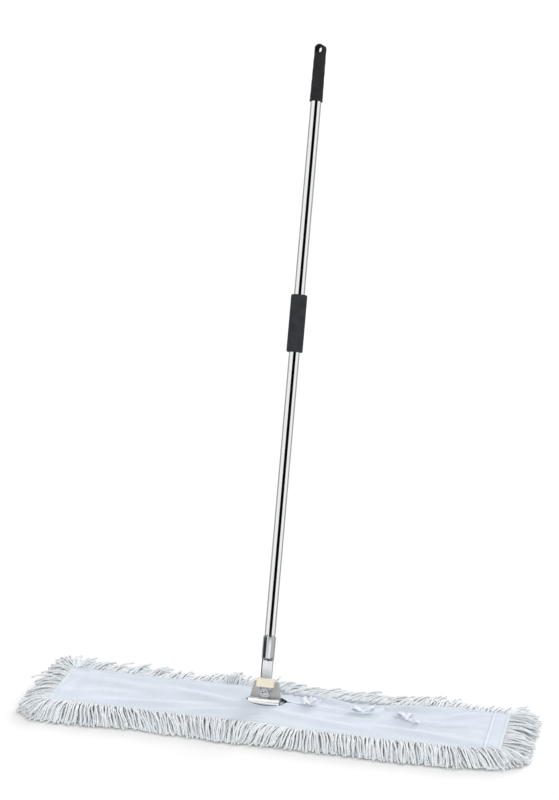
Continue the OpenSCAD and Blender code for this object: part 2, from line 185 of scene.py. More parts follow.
world = bpy.data.worlds.new("studio_sky")
scene.world = world
world.use_nodes = True
sky = world.node_tree
sky.nodes.clear()
soft_sky = add(sky, "Background", Color=WHITE, Strength=SKY_LEVEL)
white_sky = add(sky, "Background", Color=WHITE, Strength=1.0)
sky_mix = add(sky, "MixShader", ports=(seen_directly(sky), soft_sky.outputs[0], white_sky.outputs[0]))
add(sky, "OutputWorld", ports=(sky_mix.outputs[0],))
print("sky", world.name, SKY_LEVEL)

# %% Floor
FLOOR_COLOUR = (0.86, 0.86, 0.86, 1)
FLOOR_CORNERS = 14.0 * np.array([[-1, -1, 0], [1, -1, 0], [1, 1, 0], [-1, 1, 0]])
FLOOR_GLOW = 0.04


def stage_board(name, corners, finish_name):
    """A flat board of the studio from its four corners; gives it and its empty node tree."""
    mesh = bpy.data.meshes.new(name)
    mesh.from_pydata(np.asarray(corners).tolist(), [], [[0, 1, 2, 3]])
    board = bpy.data.objects.new(name, mesh)
    scene.collection.objects.link(board)
    finish = bpy.data.materials.new(finish_name)
    finish.use_nodes = True
    finish.node_tree.nodes.clear()
    mesh.materials.append(finish)
    return board, finish.node_tree


floor, sweep = stage_board("floor", FLOOR_CORNERS, "white_sweep")
sweep_base = add(sweep, "BsdfDiffuse", Color=FLOOR_COLOUR)
sweep_level = math(sweep, "MULTIPLY", seen_directly(sweep), FLOOR_GLOW)
sweep_glow = add(sweep, "Emission", Color=WHITE, Strength=sweep_level)
sweep_sum = add(sweep, "AddShader", ports=(sweep_base.outputs[0], sweep_glow.outputs[0]))
add(sweep, "OutputMaterial", ports=(sweep_sum.outputs[0],))
print("stage", floor.name)

# %% Lamps
# Name, strength, the direction that it shines from, width of its disc in degrees.
LAMPS = [
    ("broad_light", 0.95, (0.42, 0.50, 0.75), 64),
    ("back_light", 1.50, (0.28, 0.90, 0.36), 26),
    ("low_fill", 1.35, (0.10, -0.97, 0.17), 64),
]


def sun(name, level, comes_from, width):
    """A sun with a wide disc, which polished metal does not mirror."""
    lamp_data = bpy.data.lights.new(name, "SUN")
    lamp_data.energy = level
    lamp_data.angle = np.radians(width)
    lamp = bpy.data.objects.new(name, lamp_data)
    lamp.rotation_euler = Vector(comes_from).to_track_quat("Z", "Y").to_euler()
    lamp.visible_glossy = False
    scene.collection.objects.link(lamp)
    return lamp


lamps = [sun(*row) for row in LAMPS]
print("lamps", [lamp.name for lamp in lamps])

# %% [markdown]
# ## Cards for the polished tube
# Polished steel has no look of its own: it shows the room. Photographers stand dark cards
# round a tube so that it gets a crisp dark line and grey edges. The same cards stand here,
# with smaller ones round the socket. Only mirror-like rays see them, so they shade nothing
# and the camera never meets them.

# %% Cards
LEAN = np.radians(21.0)
HANDLE_UP = np.array([0, np.sin(LEAN), np.cos(LEAN)])
HANDLE_BACK = np.array([0, np.cos(LEAN), -np.sin(LEAN)])
HANDLE_FOOT = np.array([0, 0, 26.25 * MM])
# Bearing, distance, half angle, low and high end along the handle, grey.
CARDS = {
    "card_front": (19, 2.0, 31, -0.02, 2.20, 0.004),
    "card_left": (-122, 0.32, 40, 0.115, 1.50, 0.42),
    "card_right": (148, 0.32, 40, 0.115, 1.50, 0.42),
    "card_socket_0": (-135, 0.25, 31, -0.075, 0.119, 0.30),
    "card_socket_1": (-68, 0.25, 35, -0.075, 0.119, 0.035),
    "card_socket_2": (-10, 0.7, 22, -0.005, 0.010, 0.72),
    "card_socket_3": (-10, 0.7, 22, 0.010, 0.036, 0.98),
    "card_socket_4": (-10, 0.7, 22, 0.036, 0.085, 0.70),
    "card_socket_5": (30, 0.7, 18, -0.005, 0.085, 1.0),
    "card_socket_6": (74, 0.25, 26, -0.075, 0.119, 0.50),
    "card_socket_7": (135, 0.25, 34, -0.075, 0.119, 0.38),
    "card_socket_8": (0, 0.7, 30, -0.060, -0.005, 0.36),
}


def card(name, bearing, distance, half_angle, low, high, grey):
    """A flat card that stands along the handle: its middle lies at a bearing from the front,
    at a distance, it spans a half angle to each side, and low and high are heights along
    the handle."""
    turn = np.radians(bearing)
    outward = np.array([np.sin(turn), 0, 0]) - np.cos(turn) * HANDLE_BACK
    across = np.cross(HANDLE_UP, outward) * distance * np.tan(np.radians(half_angle))
    middle = HANDLE_FOOT + distance * outward
    ends = ((-1, low), (1, low), (1, high), (-1, high))
    corners = [middle + a * across + b * HANDLE_UP for a, b in ends]
    board, tree = stage_board(name, corners, name)
    glow = add(tree, "Emission", Color=(grey, grey, grey, 1), Strength=1.0)
    add(tree, "OutputMaterial", ports=(glow.outputs[0],))
    for ray in ("camera", "diffuse", "transmission", "volume_scatter", "shadow"):
        setattr(board, "visible_" + ray, False)
    return board


cards = [card(name, *row) for name, row in CARDS.items()]
print("cards", [board.name for board in cards])

# %% [markdown]
# ## Finishes that several pieces share
# Cloth, tape and backing are all plain weave. Yarn is plies twisted round each other. Cast
# and plated surfaces are never even, so most finishes also use one soft mottle. Each of
# these is a node group that is built once and then placed with its own values.

# %% Mottle
CLOUD_RANGE = (0.3, 0.7)


def build_mottle():
    """Soft clouds: noise of a given scale, stretched to the range from Low to High."""
    tree, inputs, sink = new_group(
        "mottle", {"Vector": None, "Scale": 40.0, "Low": 0.0, "High": 1.0}, ["Value"])
    clouds = add(tree, "TexNoise", Vector=inputs["Vector"], Scale=inputs["Scale"], Detail=4.0,
                 Roughness=0.6)
    spread = ramp(tree, clouds.outputs[0], *CLOUD_RANGE, inputs["Low"], inputs["High"])
    wire(tree, sink, Value=spread)
    return tree


mottle_group = build_mottle()
print("group", mottle_group.name)

# %% Plain weave
# How much paler a raised thread or ply is: a painted highlight.
RIDGE_HIGHLIGHT = 0.04
SLUB_TONE, SLUB_BASE = 0.12, 0.92


def build_weave():
    """Plain weave: the product of a sine across and a sine along, so that each thread
    passes over one neighbour and under the next; Height is raised threads, Shade their tone,
    uneven by slubs and paler on the raised threads as a painted highlight."""
    tree, inputs, sink = new_group(
        "plain_weave", {"Vector": None, "Pitch": 0.8 * MM}, ["Height", "Shade"])
    place = add(tree, "SeparateXYZ", Vector=inputs["Vector"]).outputs
    turns = math(tree, "DIVIDE", np.pi, inputs["Pitch"])
    waves = [math(tree, "SINE", math(tree, "MULTIPLY", place[axis], turns)) for axis in "XY"]
    height = math(tree, "MULTIPLY", *waves)
    slubs = add(tree, "TexNoise", Vector=inputs["Vector"], Scale=160.0, Detail=3.0)
    uneven = math(tree, "MULTIPLY_ADD", slubs.outputs[0], SLUB_TONE, SLUB_BASE)
    wire(tree, sink, Height=height, Shade=math(tree, "MULTIPLY_ADD", height, RIDGE_HIGHLIGHT, uneven))
    return tree


weave_group = build_weave()
print("group", weave_group.name)

# %% Twisted plies
def build_plies():
    """Twisted plies: a sine of the turn round the yarn plus the way along it; Shade is paler
    on the ridges as a painted highlight. The first coordinate is the way along in metres,
    the second the turn from 0 to 1."""
    tree, inputs, sink = new_group(
        "twisted_plies", {"Vector": None, "Plies": 3.0, "Lay": 11 * MM}, ["Height", "Shade"])
    place = add(tree, "SeparateXYZ", Vector=inputs["Vector"]).outputs
    along = math(tree, "DIVIDE", place["X"], inputs["Lay"])
    turn = math(tree, "MULTIPLY_ADD", place["Y"], inputs["Plies"], along)
    ridge = math(tree, "SINE", math(tree, "MULTIPLY", turn, 2 * np.pi))
    shade = math(tree, "MULTIPLY_ADD", ridge, RIDGE_HIGHLIGHT, 1 - RIDGE_HIGHLIGHT)
    wire(tree, sink, Height=ridge, Shade=shade)
    return tree


ply_group = build_plies()
print("group", ply_group.name)

# %% Hem and stitches
SEAM_HALF = 0.45 * MM
STITCH_SHARE = 0.72
HEM_FADE = (7.6 * MM, 6.6 * MM)
FOLD_AT = 7.9 * MM
# Where the painted shadow line at the hem's fold fades out.
FOLD_SHADE_FADE = (1.2 * MM, 0.3 * MM)


def build_stitches():
    """A hem and its seam. The first coordinate is the distance to the cloth's edge, the
    second the way along it: Hem is 1 on the doubled edge, the second output is 1 where the
    fold ends and marks a painted shadow line, Thread is 1 on each stitch of the seam and
    Hole is 1 between two stitches."""
    tree, inputs, sink = new_group(
        "hem_stitches", {"Vector": None, "Seam": 5.6 * MM, "Stitch": 3.4 * MM},
        ["Hem", "Groove", "Thread", "Hole"])
    place = add(tree, "SeparateXYZ", Vector=inputs["Vector"]).outputs
    off_seam = math(tree, "ABSOLUTE", math(tree, "SUBTRACT", place["X"], inputs["Seam"]))
    line = math(tree, "LESS_THAN", off_seam, SEAM_HALF)
    share = math(tree, "FRACT", math(tree, "DIVIDE", place["Y"], inputs["Stitch"]))
    thread = math(tree, "MULTIPLY", line, math(tree, "LESS_THAN", share, STITCH_SHARE))
    off_fold = math(tree, "ABSOLUTE", math(tree, "SUBTRACT", place["X"], FOLD_AT))
    wire(tree, sink, Hem=ramp(tree, place["X"], *HEM_FADE), Groove=ramp(tree, off_fold, *FOLD_SHADE_FADE),
         Thread=thread, Hole=math(tree, "SUBTRACT", line, thread))
    return tree


stitch_group = build_stitches()
print("group", stitch_group.name)

# %% Making a finish
def new_finish(name, **sockets):
    """A material with one Principled shader that holds these constants; gives the material,
    its node tree and the shader."""
    finish = bpy.data.materials.new(name)
    finish.use_nodes = True
    shader = finish.node_tree.nodes["Principled BSDF"]
    wire(finish.node_tree, shader, **sockets)
    return finish, finish.node_tree, shader


def place_group(tree, group, **sockets):
    """Puts a shared group into a material; gives its outputs."""
    made = tree.nodes.new("ShaderNodeGroup")
    made.node_tree = group
    wire(tree, made, **sockets)
    return made.outputs


def mottle(tree, place, scale, low, high=1.0):
    """A value between low and high that follows clouds of a scale."""
    return place_group(tree, mottle_group, Vector=place, Scale=scale, Low=low, High=high)["Value"]


def shaded(tree, colour, shade):
    """A colour times a shade that varies over the surface."""
    return vector_math(tree, "SCALE", colour, Scale=shade)["Vector"]


def coordinates(tree, kind="Object"):
    """Where a point is on the object, in metres, or on the piece's own map."""
    return add(tree, "TexCoord").outputs[kind]


def set_bump(tree, shader, height, strength, distance):
    """Bends the shader's normal by a height."""
    bump = add(tree, "Bump", Strength=strength, Distance=distance, Height=height)
    wire(tree, shader, Normal=bump.outputs[0])


print("groups to place", [group.name for group in bpy.data.node_groups])

# %% Woven finishes
CLOTH_CLOUDS = 14.0
HOLE_TONE = -0.22
THREAD_RISE, HOLE_SINK = 2.5, -3.0
WEAVE_BUMP, WEAVE_DEPTH = 0.25, 0.2 * MM


def woven_finish(name, colour, pitch, mottle_low, hem_tone):
    """Matt woven cloth: weave for tone and bump, a slow mottle, and a hem that is paler than
    the single cloth, with a row of stitches and a painted shadow line where its fold ends."""
    finish, tree, shader = new_finish(name, Roughness=0.88, Sheen_Weight=0.12, Sheen_Roughness=0.5)
    place = coordinates(tree)
    weave = place_group(tree, weave_group, Vector=place, Pitch=pitch)
    seam = place_group(tree, stitch_group, Vector=coordinates(tree, "UV"))
    tone = math(tree, "MULTIPLY", weave["Shade"], mottle(tree, place, CLOTH_CLOUDS, mottle_low))
    # The line where the hem's fold ends gets a painted shadow.
    for part, change in (("Hem", hem_tone), ("Groove", -hem_tone), ("Hole", HOLE_TONE)):
        tone = math(tree, "MULTIPLY_ADD", seam[part], change, tone)
    wire(tree, shader, Base_Color=shaded(tree, colour, tone))
    height = math(tree, "MULTIPLY_ADD", seam["Thread"], THREAD_RISE, weave["Height"])
    height = math(tree, "MULTIPLY_ADD", seam["Hole"], HOLE_SINK, height)
    set_bump(tree, shader, height, WEAVE_BUMP, WEAVE_DEPTH)
    return finish


CLOTH_COLOUR = (0.665, 0.72, 0.80)
TAPE_COLOUR = (0.80, 0.835, 0.885)
cloth_finish = woven_finish("pale_cloth", CLOTH_COLOUR, 0.8 * MM, 0.94, 0.05)
tape_finish = woven_finish("white_tape", TAPE_COLOUR, 0.6 * MM, 0.97, 0.0)
print("woven", cloth_finish.name, tape_finish.name)

# %% [markdown]
# ## Yarn finish
# The fringe is soft-spun cotton, off-white with a faint blue-grey cast. No two strands
# take the bleach alike, so each carries its own tint as a mesh attribute, which also holds
# painted shade: darker at the root, down the flanks, in the lower layers and over the back
# fringe. The plies wind along the strand's own map.

# %% Yarn finish
YARN_COLOUR = (0.905, 0.95, 0.985)
PLY_BUMP, PLY_DEPTH = 0.25, 0.5 * MM
yarn_finish, yarn_tree, yarn_shader = new_finish(
    "cotton_yarn", Roughness=0.92, Sheen_Weight=0.8, Sheen_Roughness=0.4)
yarn_plies = place_group(yarn_tree, ply_group, Vector=coordinates(yarn_tree, "UV"))
# The attribute holds each strand's tint times its painted shade.
yarn_tint_and_shade = add(yarn_tree, "Attribute", {"attribute_name": "strand_tint_and_shade"}).outputs["Fac"]
yarn_tone = math(yarn_tree, "MULTIPLY", yarn_plies["Shade"], yarn_tint_and_shade)
wire(yarn_tree, yarn_shader, Base_Color=shaded(yarn_tree, YARN_COLOUR, yarn_tone))
set_bump(yarn_tree, yarn_shader, yarn_plies["Height"], PLY_BUMP, PLY_DEPTH)
print("yarn", yarn_finish.name)

# %% [markdown]
# ## Metal finishes
# The tube is polished along its length, so its roughness runs in long faint streaks. The
# socket is bright zinc over drawn steel. The clip is dull galvanised sheet with a soft
# spangle. They differ in base colour, in roughness and in how that roughness is broken up.

# %% Metal finishes
# Name, colour, roughness from and to, scale of the grain, its stretch, darkest tone, bump.
METALS = [
    ("polished_stainless", (0.86, 0.87, 0.88), (0.03, 0.07), 300.0, 60.0, 0.97, 0.02),
    ("bright_zinc", (0.88, 0.92, 0.94), (0.05, 0.11), 140.0, 6.0, 0.90, 0.04),
    ("dull_zinc_sheet", (0.66, 0.665, 0.66), (0.30, 0.46), 220.0, 1.0, 0.80, 0.08),
    ("rivet_steel", (0.80, 0.81, 0.82), (0.16, 0.28), 260.0, 1.0, 0.9, 0.05),
    ("drawn_wire", (0.62, 0.63, 0.64), (0.22, 0.38), 240.0, 1.0, 0.88, 0.05),
]
TONE_SCALE, GRAIN_DEPTH = 0.4, 0.3 * MM


def metal_finish(name, colour, rough, scale, stretch, tone_low, bump):
    """Metal whose roughness and tone follow a noise that is stretched along the handle."""
    finish, tree, shader = new_finish(name, Metallic=1.0)
    turned = add(tree, "Mapping", Vector=coordinates(tree), Rotation=(LEAN, 0, 0),
                 Scale=(1, 1, 1 / stretch)).outputs[0]
    grain = mottle(tree, turned, scale, *rough)
    tone = mottle(tree, turned, scale * TONE_SCALE, tone_low)
    wire(tree, shader, Roughness=grain, Base_Color=shaded(tree, colour, tone))
    set_bump(tree, shader, grain, bump, GRAIN_DEPTH)
    return finish


polished_finish, bright_zinc_finish, dull_zinc_finish, rivet_finish, wire_finish = (
    metal_finish(*row) for row in METALS)
print("metals", [row[0] for row in METALS])

# %% [markdown]
# ## Painted highlight and shade on the metal
# The clip's barrel is smoother near the hinge, and painted paler there as a highlight. A
# ragged band of painted shade darkens the socket's step. Both could be painted on a picture
# that is wrapped round the piece; a mask worked out from where a point lies needs no picture.

# %% Smoother barrel with a painted highlight
BARREL_REACH, BARREL_FADE = 10.6 * MM, 1.2 * MM
# Colour of the painted highlight on the barrel.
BARREL_HIGHLIGHT = (0.97, 0.975, 0.98, 1)
BARREL_SMOOTH = 0.7
MIX_SHARE, MIX_FIRST, MIX_SECOND, MIX_RESULT = 0, 6, 7, 2


def base_of(finish):
    """A finish's node tree, its shader and what feeds the shader's base colour."""
    shader = finish.node_tree.nodes["Principled BSDF"]
    return finish.node_tree, shader, shader.inputs["Base Color"].links[0].from_socket


def burnish_and_highlight_barrel(finish):
    """Makes the sheet smoother near the hinge, and paler there as a painted highlight: a mask of
    the distance from the hinge line, which mixes dull with bright in tone and roughness."""
    tree, shader, dull = base_of(finish)
    place = add(tree, "SeparateXYZ", Vector=coordinates(tree)).outputs
    rise = math(tree, "SUBTRACT", place["Z"], float(HANDLE_FOOT[2]))
    squared = math(tree, "MULTIPLY_ADD", rise, rise, math(tree, "MULTIPLY", place["Y"], place["Y"]))
    mask = ramp(tree, math(tree, "SQRT", squared), BARREL_REACH + BARREL_FADE, BARREL_REACH)
    mix = add(tree, "Mix", {"data_type": "RGBA"})
    for port, value in ((MIX_SHARE, mask), (MIX_FIRST, dull), (MIX_SECOND, BARREL_HIGHLIGHT)):
        feed(tree, mix.inputs[port], value)
    rough = shader.inputs["Roughness"].links[0].from_socket
    kept = math(tree, "SUBTRACT", 1.0, math(tree, "MULTIPLY", mask, BARREL_SMOOTH))
    wire(tree, shader, Base_Color=mix.outputs[MIX_RESULT], Roughness=math(tree, "MULTIPLY", rough, kept))


# The barrel is smoother near the hinge and painted paler there: a painted highlight.
burnish_and_highlight_barrel(dull_zinc_finish)
print("rubbed bright within", BARREL_REACH, "of the hinge line")

# %% Painted shade at the socket's step
CREASE_LOW, CREASE_HIGH = 83.5 * MM, 88.2 * MM
CREASE_FADE = 0.8 * MM
# How dark the painted shade at the step is.
CREASE_PAINTED_SHADE = 0.30
RAGGED, RAGGED_SCALE = 2.2 * MM, 300.0


def paint_crease_shade(finish):
    """Darkens a ragged band across the handle with painted shade: a shade that follows the
    height along the handle, made uneven by clouds, and is darkest between the crease's low
    and high line."""
    tree, shader, unshaded = base_of(finish)
    along = vector_math(tree, "DOT_PRODUCT", coordinates(tree), tuple(HANDLE_UP))["Value"]
    foot = float(HANDLE_FOOT @ HANDLE_UP)
    middle, half = foot + (CREASE_LOW + CREASE_HIGH) / 2, (CREASE_HIGH - CREASE_LOW) / 2
    uneven = math(tree, "ADD", along, mottle(tree, coordinates(tree), RAGGED_SCALE, -RAGGED, RAGGED))
    off = math(tree, "ABSOLUTE", math(tree, "SUBTRACT", uneven, middle))
    mask = ramp(tree, off, half, half + CREASE_FADE, CREASE_PAINTED_SHADE)
    wire(tree, shader, Base_Color=shaded(tree, unshaded, mask))


# Painted shade where the socket steps down to its tongue.
paint_crease_shade(bright_zinc_finish)
print("crease along the handle", CREASE_LOW, CREASE_HIGH)

# %% [markdown]
# ## Plastic and foam finishes
# The cap is soft black moulding with a fine spark grain. The middle grip is closed-cell
# foam: charcoal, matt and finely pitted. The sliding block is cream nylon, smooth and a
# little waxy. One function makes them all, because each is a tone, a roughness and a grain.
# The wall of the hang hole is darkened with painted shade.

# %% Plastic and foam finishes
# Name, colour, roughness from and to, scale of the cells, bump and its depth, darkest tone, gloss.
MOULDINGS = [
    ("black_moulding", (0.027, 0.027, 0.0305), (0.45, 0.6), 1600.0, 0.15, 0.2 * MM, 0.60, 0.08),
    ("charcoal_foam", (0.040, 0.0415, 0.0475), (0.6, 0.8), 900.0, 0.5, 0.6 * MM, 0.60, 0.1),
    ("cream_nylon", (0.85, 0.785, 0.62), (0.38, 0.5), 1400.0, 0.06, 0.1 * MM, 0.93, 0.5),
    ("insert_plastic", (0.80, 0.80, 0.78), (0.4, 0.55), 1400.0, 0.06, 0.1 * MM, 0.93, 0.5),
]
TONE_CLOUDS, ROUGH_CLOUDS = 70.0, 260.0
EYE_FADE = (1.05, 1.3)
# How dark the painted shade on the hole's wall is.
EYE_PAINTED_SHADE = 0.12


def moulded_finish(name, colour, rough, grain_scale, bump, depth, tone_low, gloss):
    """A moulded surface: cloudy tone, uneven roughness and a cellular grain as bump."""
    finish, tree, shader = new_finish(name, Specular_IOR_Level=gloss)
    place = coordinates(tree)
    cells = add(tree, "TexVoronoi", Vector=place, Scale=grain_scale)
    tone = mottle(tree, place, TONE_CLOUDS, tone_low)
    wire(tree, shader, Base_Color=shaded(tree, colour, tone),
         Roughness=mottle(tree, place, ROUGH_CLOUDS, *rough))
    set_bump(tree, shader, cells.outputs["Distance"], bump, depth)
    return finish


def paint_eye_shade(finish, hole):
    """Darkens the wall of a hole with painted shade: a mask of the distance from the hole's
    line, which is the length of the way from the hole's middle crossed with its axis."""
    tree, shader, unshaded = base_of(finish)
    way = vector_math(tree, "SUBTRACT", coordinates(tree), hole["pos_m"])["Vector"]
    square = vector_math(tree, "CROSS_PRODUCT", way, hole["axis"])["Vector"]
    gap = vector_math(tree, "LENGTH", square)["Value"]
    near, far = (share * hole["dims"]["r_mm"] * MM for share in EYE_FADE)
    mask = ramp(tree, gap, near, far, EYE_PAINTED_SHADE)
    wire(tree, shader, Base_Color=shaded(tree, unshaded, mask))


cap_finish, foam_finish, nylon_finish, insert_finish = (moulded_finish(*row) for row in MOULDINGS)
mounts = {mount["name"]: mount for mount in frame["record"]["mounts"]}
# Painted shade on the wall of the hang hole.
paint_eye_shade(cap_finish, mounts["hang_hole"])
print("mouldings", [row[0] for row in MOULDINGS])

# %% Finishes on the rigid solids
NODE_FINISH = {
    polished_finish: ["lower_tube", "upper_tube"],
    bright_zinc_finish: ["socket"],
    dull_zinc_finish: ["clip_plate"],
    rivet_finish: ["pivot_rivet", "rivet_washer", "spacer_washer", "centre_tube"],
    wire_finish: ["frame_wire_left", "frame_wire_right", "cross_wire_left", "cross_wire_right",
                  "centre_rod"],
    cap_finish: ["hang_cap"],
    foam_finish: ["mid_grip"],
    nylon_finish: ["slide_block"],
    insert_finish: ["joiner_plug", "joiner_sleeve"],
    cloth_finish: ["bottom_backing", "top_cover", "end_panel"],
    tape_finish: ["tie_near", "tie_middle", "tie_far"],
    yarn_finish: ["yarn_pad", "fringe_front", "fringe_back", "fringe_left", "fringe_right"],
}
for finish, names in NODE_FINISH.items():
    for name in names:
        frame["nodes"][name].material_slots[0].material = finish
print("dressed", sum(len(names) for names in NODE_FINISH.values()), "solids")

# %% [markdown]
# ## Surfaces from arrays
# Every soft piece below is a grid of points that numpy works out at once. A few helpers turn
# such grids into Blender meshes: one numbers the four corners of each cell, one makes the
# object, its finish, its map and its ride, and one gives a sheet its thickness.

# %% Surface helpers
def grid_quads(rows, columns, start=0):
    """The corners of each cell of a grid of points that are numbered row by row."""
    corner = start + np.arange(rows * columns).reshape(rows, columns)
    cells = np.stack([corner[:-1, :-1], corner[:-1, 1:], corner[1:, 1:], corner[1:, :-1]], -1)
    return cells.reshape(-1, 4)


def lay_surface(name, points, quads, finish, body="head", maps=None, tint_and_shade=None):
    """A piece from points and four-cornered faces, at the origin, riding on a body."""
    mesh = bpy.data.meshes.new(name)
    mesh.from_pydata(points.reshape(-1, 3).tolist(), [], quads.tolist(), shade_flat=False)
    if maps is not None:
        way_map = mesh.uv_layers.new(name="way_and_turn")
        way_map.data.foreach_set("uv", maps.astype(np.float32).ravel())
    # Yarn carries its tint and its painted shade on every point.
    if tint_and_shade is not None:
        strand_tint_and_shade = mesh.attributes.new("strand_tint_and_shade", "FLOAT", "POINT")
        strand_tint_and_shade.data.foreach_set("value", tint_and_shade.astype(np.float32))
    mesh.materials.append(finish)
    mesh.validate()
    piece = bpy.data.objects.new(name, mesh)
    scene.collection.objects.link(piece)
    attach(piece, body)
    return piece


def thicken(piece, name, thickness, offset=-1):
    """Gives a sheet its thickness, below it or, with offset 0, to both sides."""
    wall = piece.modifiers.new(name, "SOLIDIFY")
    wall.thickness = thickness
    wall.offset = offset


def smoothstep(low, high, value):
    """0 below low, 1 above high, and an S curve between them."""
    share = np.clip((value - low) / (high - low), 0, 1)
    return share * share * (3 - 2 * share)


def bell(value, middle, width):
    """1 at the middle, and a bell curve of a width to both sides."""
    return np.exp(-(((value - middle) / width) ** 2))


def bunched(start, end, count):
    """Values from start to end that crowd towards both ends, as a cosine does."""
    return start + (end - start) * (1 - np.cos(np.linspace(0, np.pi, count))) / 2


print("a grid of 3 by 4 points has", len(grid_quads(3, 4)), "cells")

# %% [markdown]
# ## Cloth top
# The top of the mop head is a pocket of pale cloth that is pulled over the wire frame. It
# has a hemmed opening round the clip, and from there a hemmed slit runs to the right-hand
# end, where the frame goes in. A cloth simulation would need pins all round, so the cloth
# is a height over the floor plan instead: two halves, each stretched between an outer edge
# and a lip, that meet left of the opening and beyond the end seam. The height adds up what
# a hand would feel: the wires below, a slight sag between them, hems and soft folds.

# %% Edges of the cloth
cover_low, cover_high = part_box("top_cover")
LEFT, RIGHT = cover_low.x, cover_high.x
FRONT, BACK = cover_low.y, cover_high.y
COVER_TOP = cover_high.z
SEAM_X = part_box("end_panel")[0].x
SLACK, SLACK_FROM, SLACK_TO = 9 * MM, (0, 90 * MM), (470 * MM, 400 * MM)
# Height and length of one radian in millimetres, and where the wave starts in radians.
FRONT_WAVES = [(1.3, 61, 0.5), (0.7, 23, 0.0)]
BACK_WAVES = [(1.2, 71, 2.0), (0.8, 27, 1.0)]


def edge_waves(x, waves):
    """The sum of slow waves that a sewn edge has."""
    return sum(height * MM * np.sin(x / (length * MM) + start) for height, length, start in waves)


def front_edge(x):
    """The front edge, with a slack stretch right of the clip that hangs further out."""
    slack = smoothstep(*SLACK_FROM, x) * smoothstep(*SLACK_TO, x)
    return FRONT - SLACK * slack + edge_waves(x, FRONT_WAVES)


def back_edge(x):
    """The back edge, with waves of its own."""
    return BACK + edge_waves(x, BACK_WAVES)


print("cloth", round(RIGHT - LEFT, 3), "by", round(BACK - FRONT, 3), "seam at", round(SEAM_X, 3))

# %% Opening and slit
OPENING_MIDDLE_X = 1.5 * MM
OPENING_MIDDLE_Y = 5.5 * MM
OPENING_HALF_L = 41.5 * MM
OPENING_HALF_W = 16.5 * MM
OPENING_ROOM, ROOM_FADE = 5.5 * MM, (37 * MM, 29 * MM)
SLIT_Y = 13 * MM
SLIT_BOW = 11 * MM
SLIT_GAPE = 0.4 * MM
SLIT_START, SLIT_END, SLIT_BLEND = 40 * MM, 30 * MM, 6 * MM
TIE_GAPE, FIRST_TIE_X, TIE_GAP = 0.5 * MM, 88 * MM, 100 * MM
# How far the slit gapes at two places near the opening.
GAPES = [(2.2 * MM, OPENING_HALF_L), (1.0 * MM, 70 * MM)]
GAPE_REACH = 9 * MM


def slit_line(x):
    """The slit's line: it runs from behind the hinge axis to the axis at the end seam, less
    half a sine wave of the squared way, which bows its far half towards the user."""
    share = np.clip((x - OPENING_HALF_L) / (SEAM_X - OPENING_HALF_L), 0, 1)
    return SLIT_Y * (1 - share) - SLIT_BOW * np.sin(np.pi * share**2)


def lip_lines(x):
    """The two lips at each x: a line down the middle, opened by the half width of a bar
    with round ends at the clip, then by a slit that gapes between the ties. Behind the clip
    the back lip leaves room for the plate to tilt down."""
    straight = OPENING_HALF_L - OPENING_HALF_W
    past = np.clip(np.abs(x - OPENING_MIDDLE_X) - straight, 0, OPENING_HALF_W)
    inside = np.abs(x - OPENING_MIDDLE_X) < OPENING_HALF_L
    opening = np.where(inside, np.sqrt(OPENING_HALF_W**2 - past**2), 0)
    gape = SLIT_GAPE + TIE_GAPE * np.sin(np.pi * (x - FIRST_TIE_X) / TIE_GAP) ** 2
    gape = gape + sum(wide * bell(x, place, GAPE_REACH) for wide, place in GAPES)
    slit = gape * smoothstep(0, SLIT_START, x) * smoothstep(SEAM_X, SEAM_X - SLIT_END, x)
    right = smoothstep(straight, OPENING_HALF_L + SLIT_BLEND, x)
    middle = OPENING_MIDDLE_Y + (slit_line(x) - OPENING_MIDDLE_Y) * right
    half = np.maximum(opening, slit)
    room = OPENING_ROOM * smoothstep(*ROOM_FADE, np.abs(x))
    return middle - half, middle + half + room


print("opening", 2 * OPENING_HALF_L, "by", 2 * OPENING_HALF_W)

# %% Folds
FOLD_GAIN, FOLD_WAVE = 3.6, 2.2
# Middle along and across, length, width, turn in degrees and height in millimetres.
FOLDS = [
    (-0.36, -0.030, 0.10, 0.030, 12, 1.1), (-0.28, 0.020, 0.16, 0.026, -7, 1.0),
    (-0.20, -0.045, 0.13, 0.022, 9, 1.2), (-0.13, 0.010, 0.10, 0.020, -14, 1.1),
    (-0.08, -0.050, 0.09, 0.018, 16, 0.9), (0.10, -0.045, 0.12, 0.020, -10, 0.9),
    (0.20, -0.020, 0.14, 0.022, 6, 0.8), (0.32, -0.055, 0.12, 0.020, -8, 0.9),
    (0.26, 0.045, 0.10, 0.014, 11, 0.9), (0.12, 0.048, 0.08, 0.014, -16, 1.0),
    (-0.39, 0.030, 0.05, 0.020, 60, 0.9), (0.40, 0.040, 0.07, 0.015, 20, 0.7),
    (-0.393, -0.012, 0.045, 0.017, 84, -0.8),
]


def fold_height(x, y):
    """The sum of soft ridges, each a bell along its own turned axis times a wave across it."""
    total = np.zeros_like(x)
    for fold_x, fold_y, length, width, turn, height in FOLDS:
        c, s = np.cos(np.radians(turn)), np.sin(np.radians(turn))
        along = (x - fold_x) * c + (y - fold_y) * s
        across = (y - fold_y) * c - (x - fold_x) * s
        ridge = np.exp(-((along / length) ** 2) - (across / width) ** 2)
        total += height * MM * ridge * np.cos(FOLD_WAVE * across / width)
    return total


print("folds", len(FOLDS))

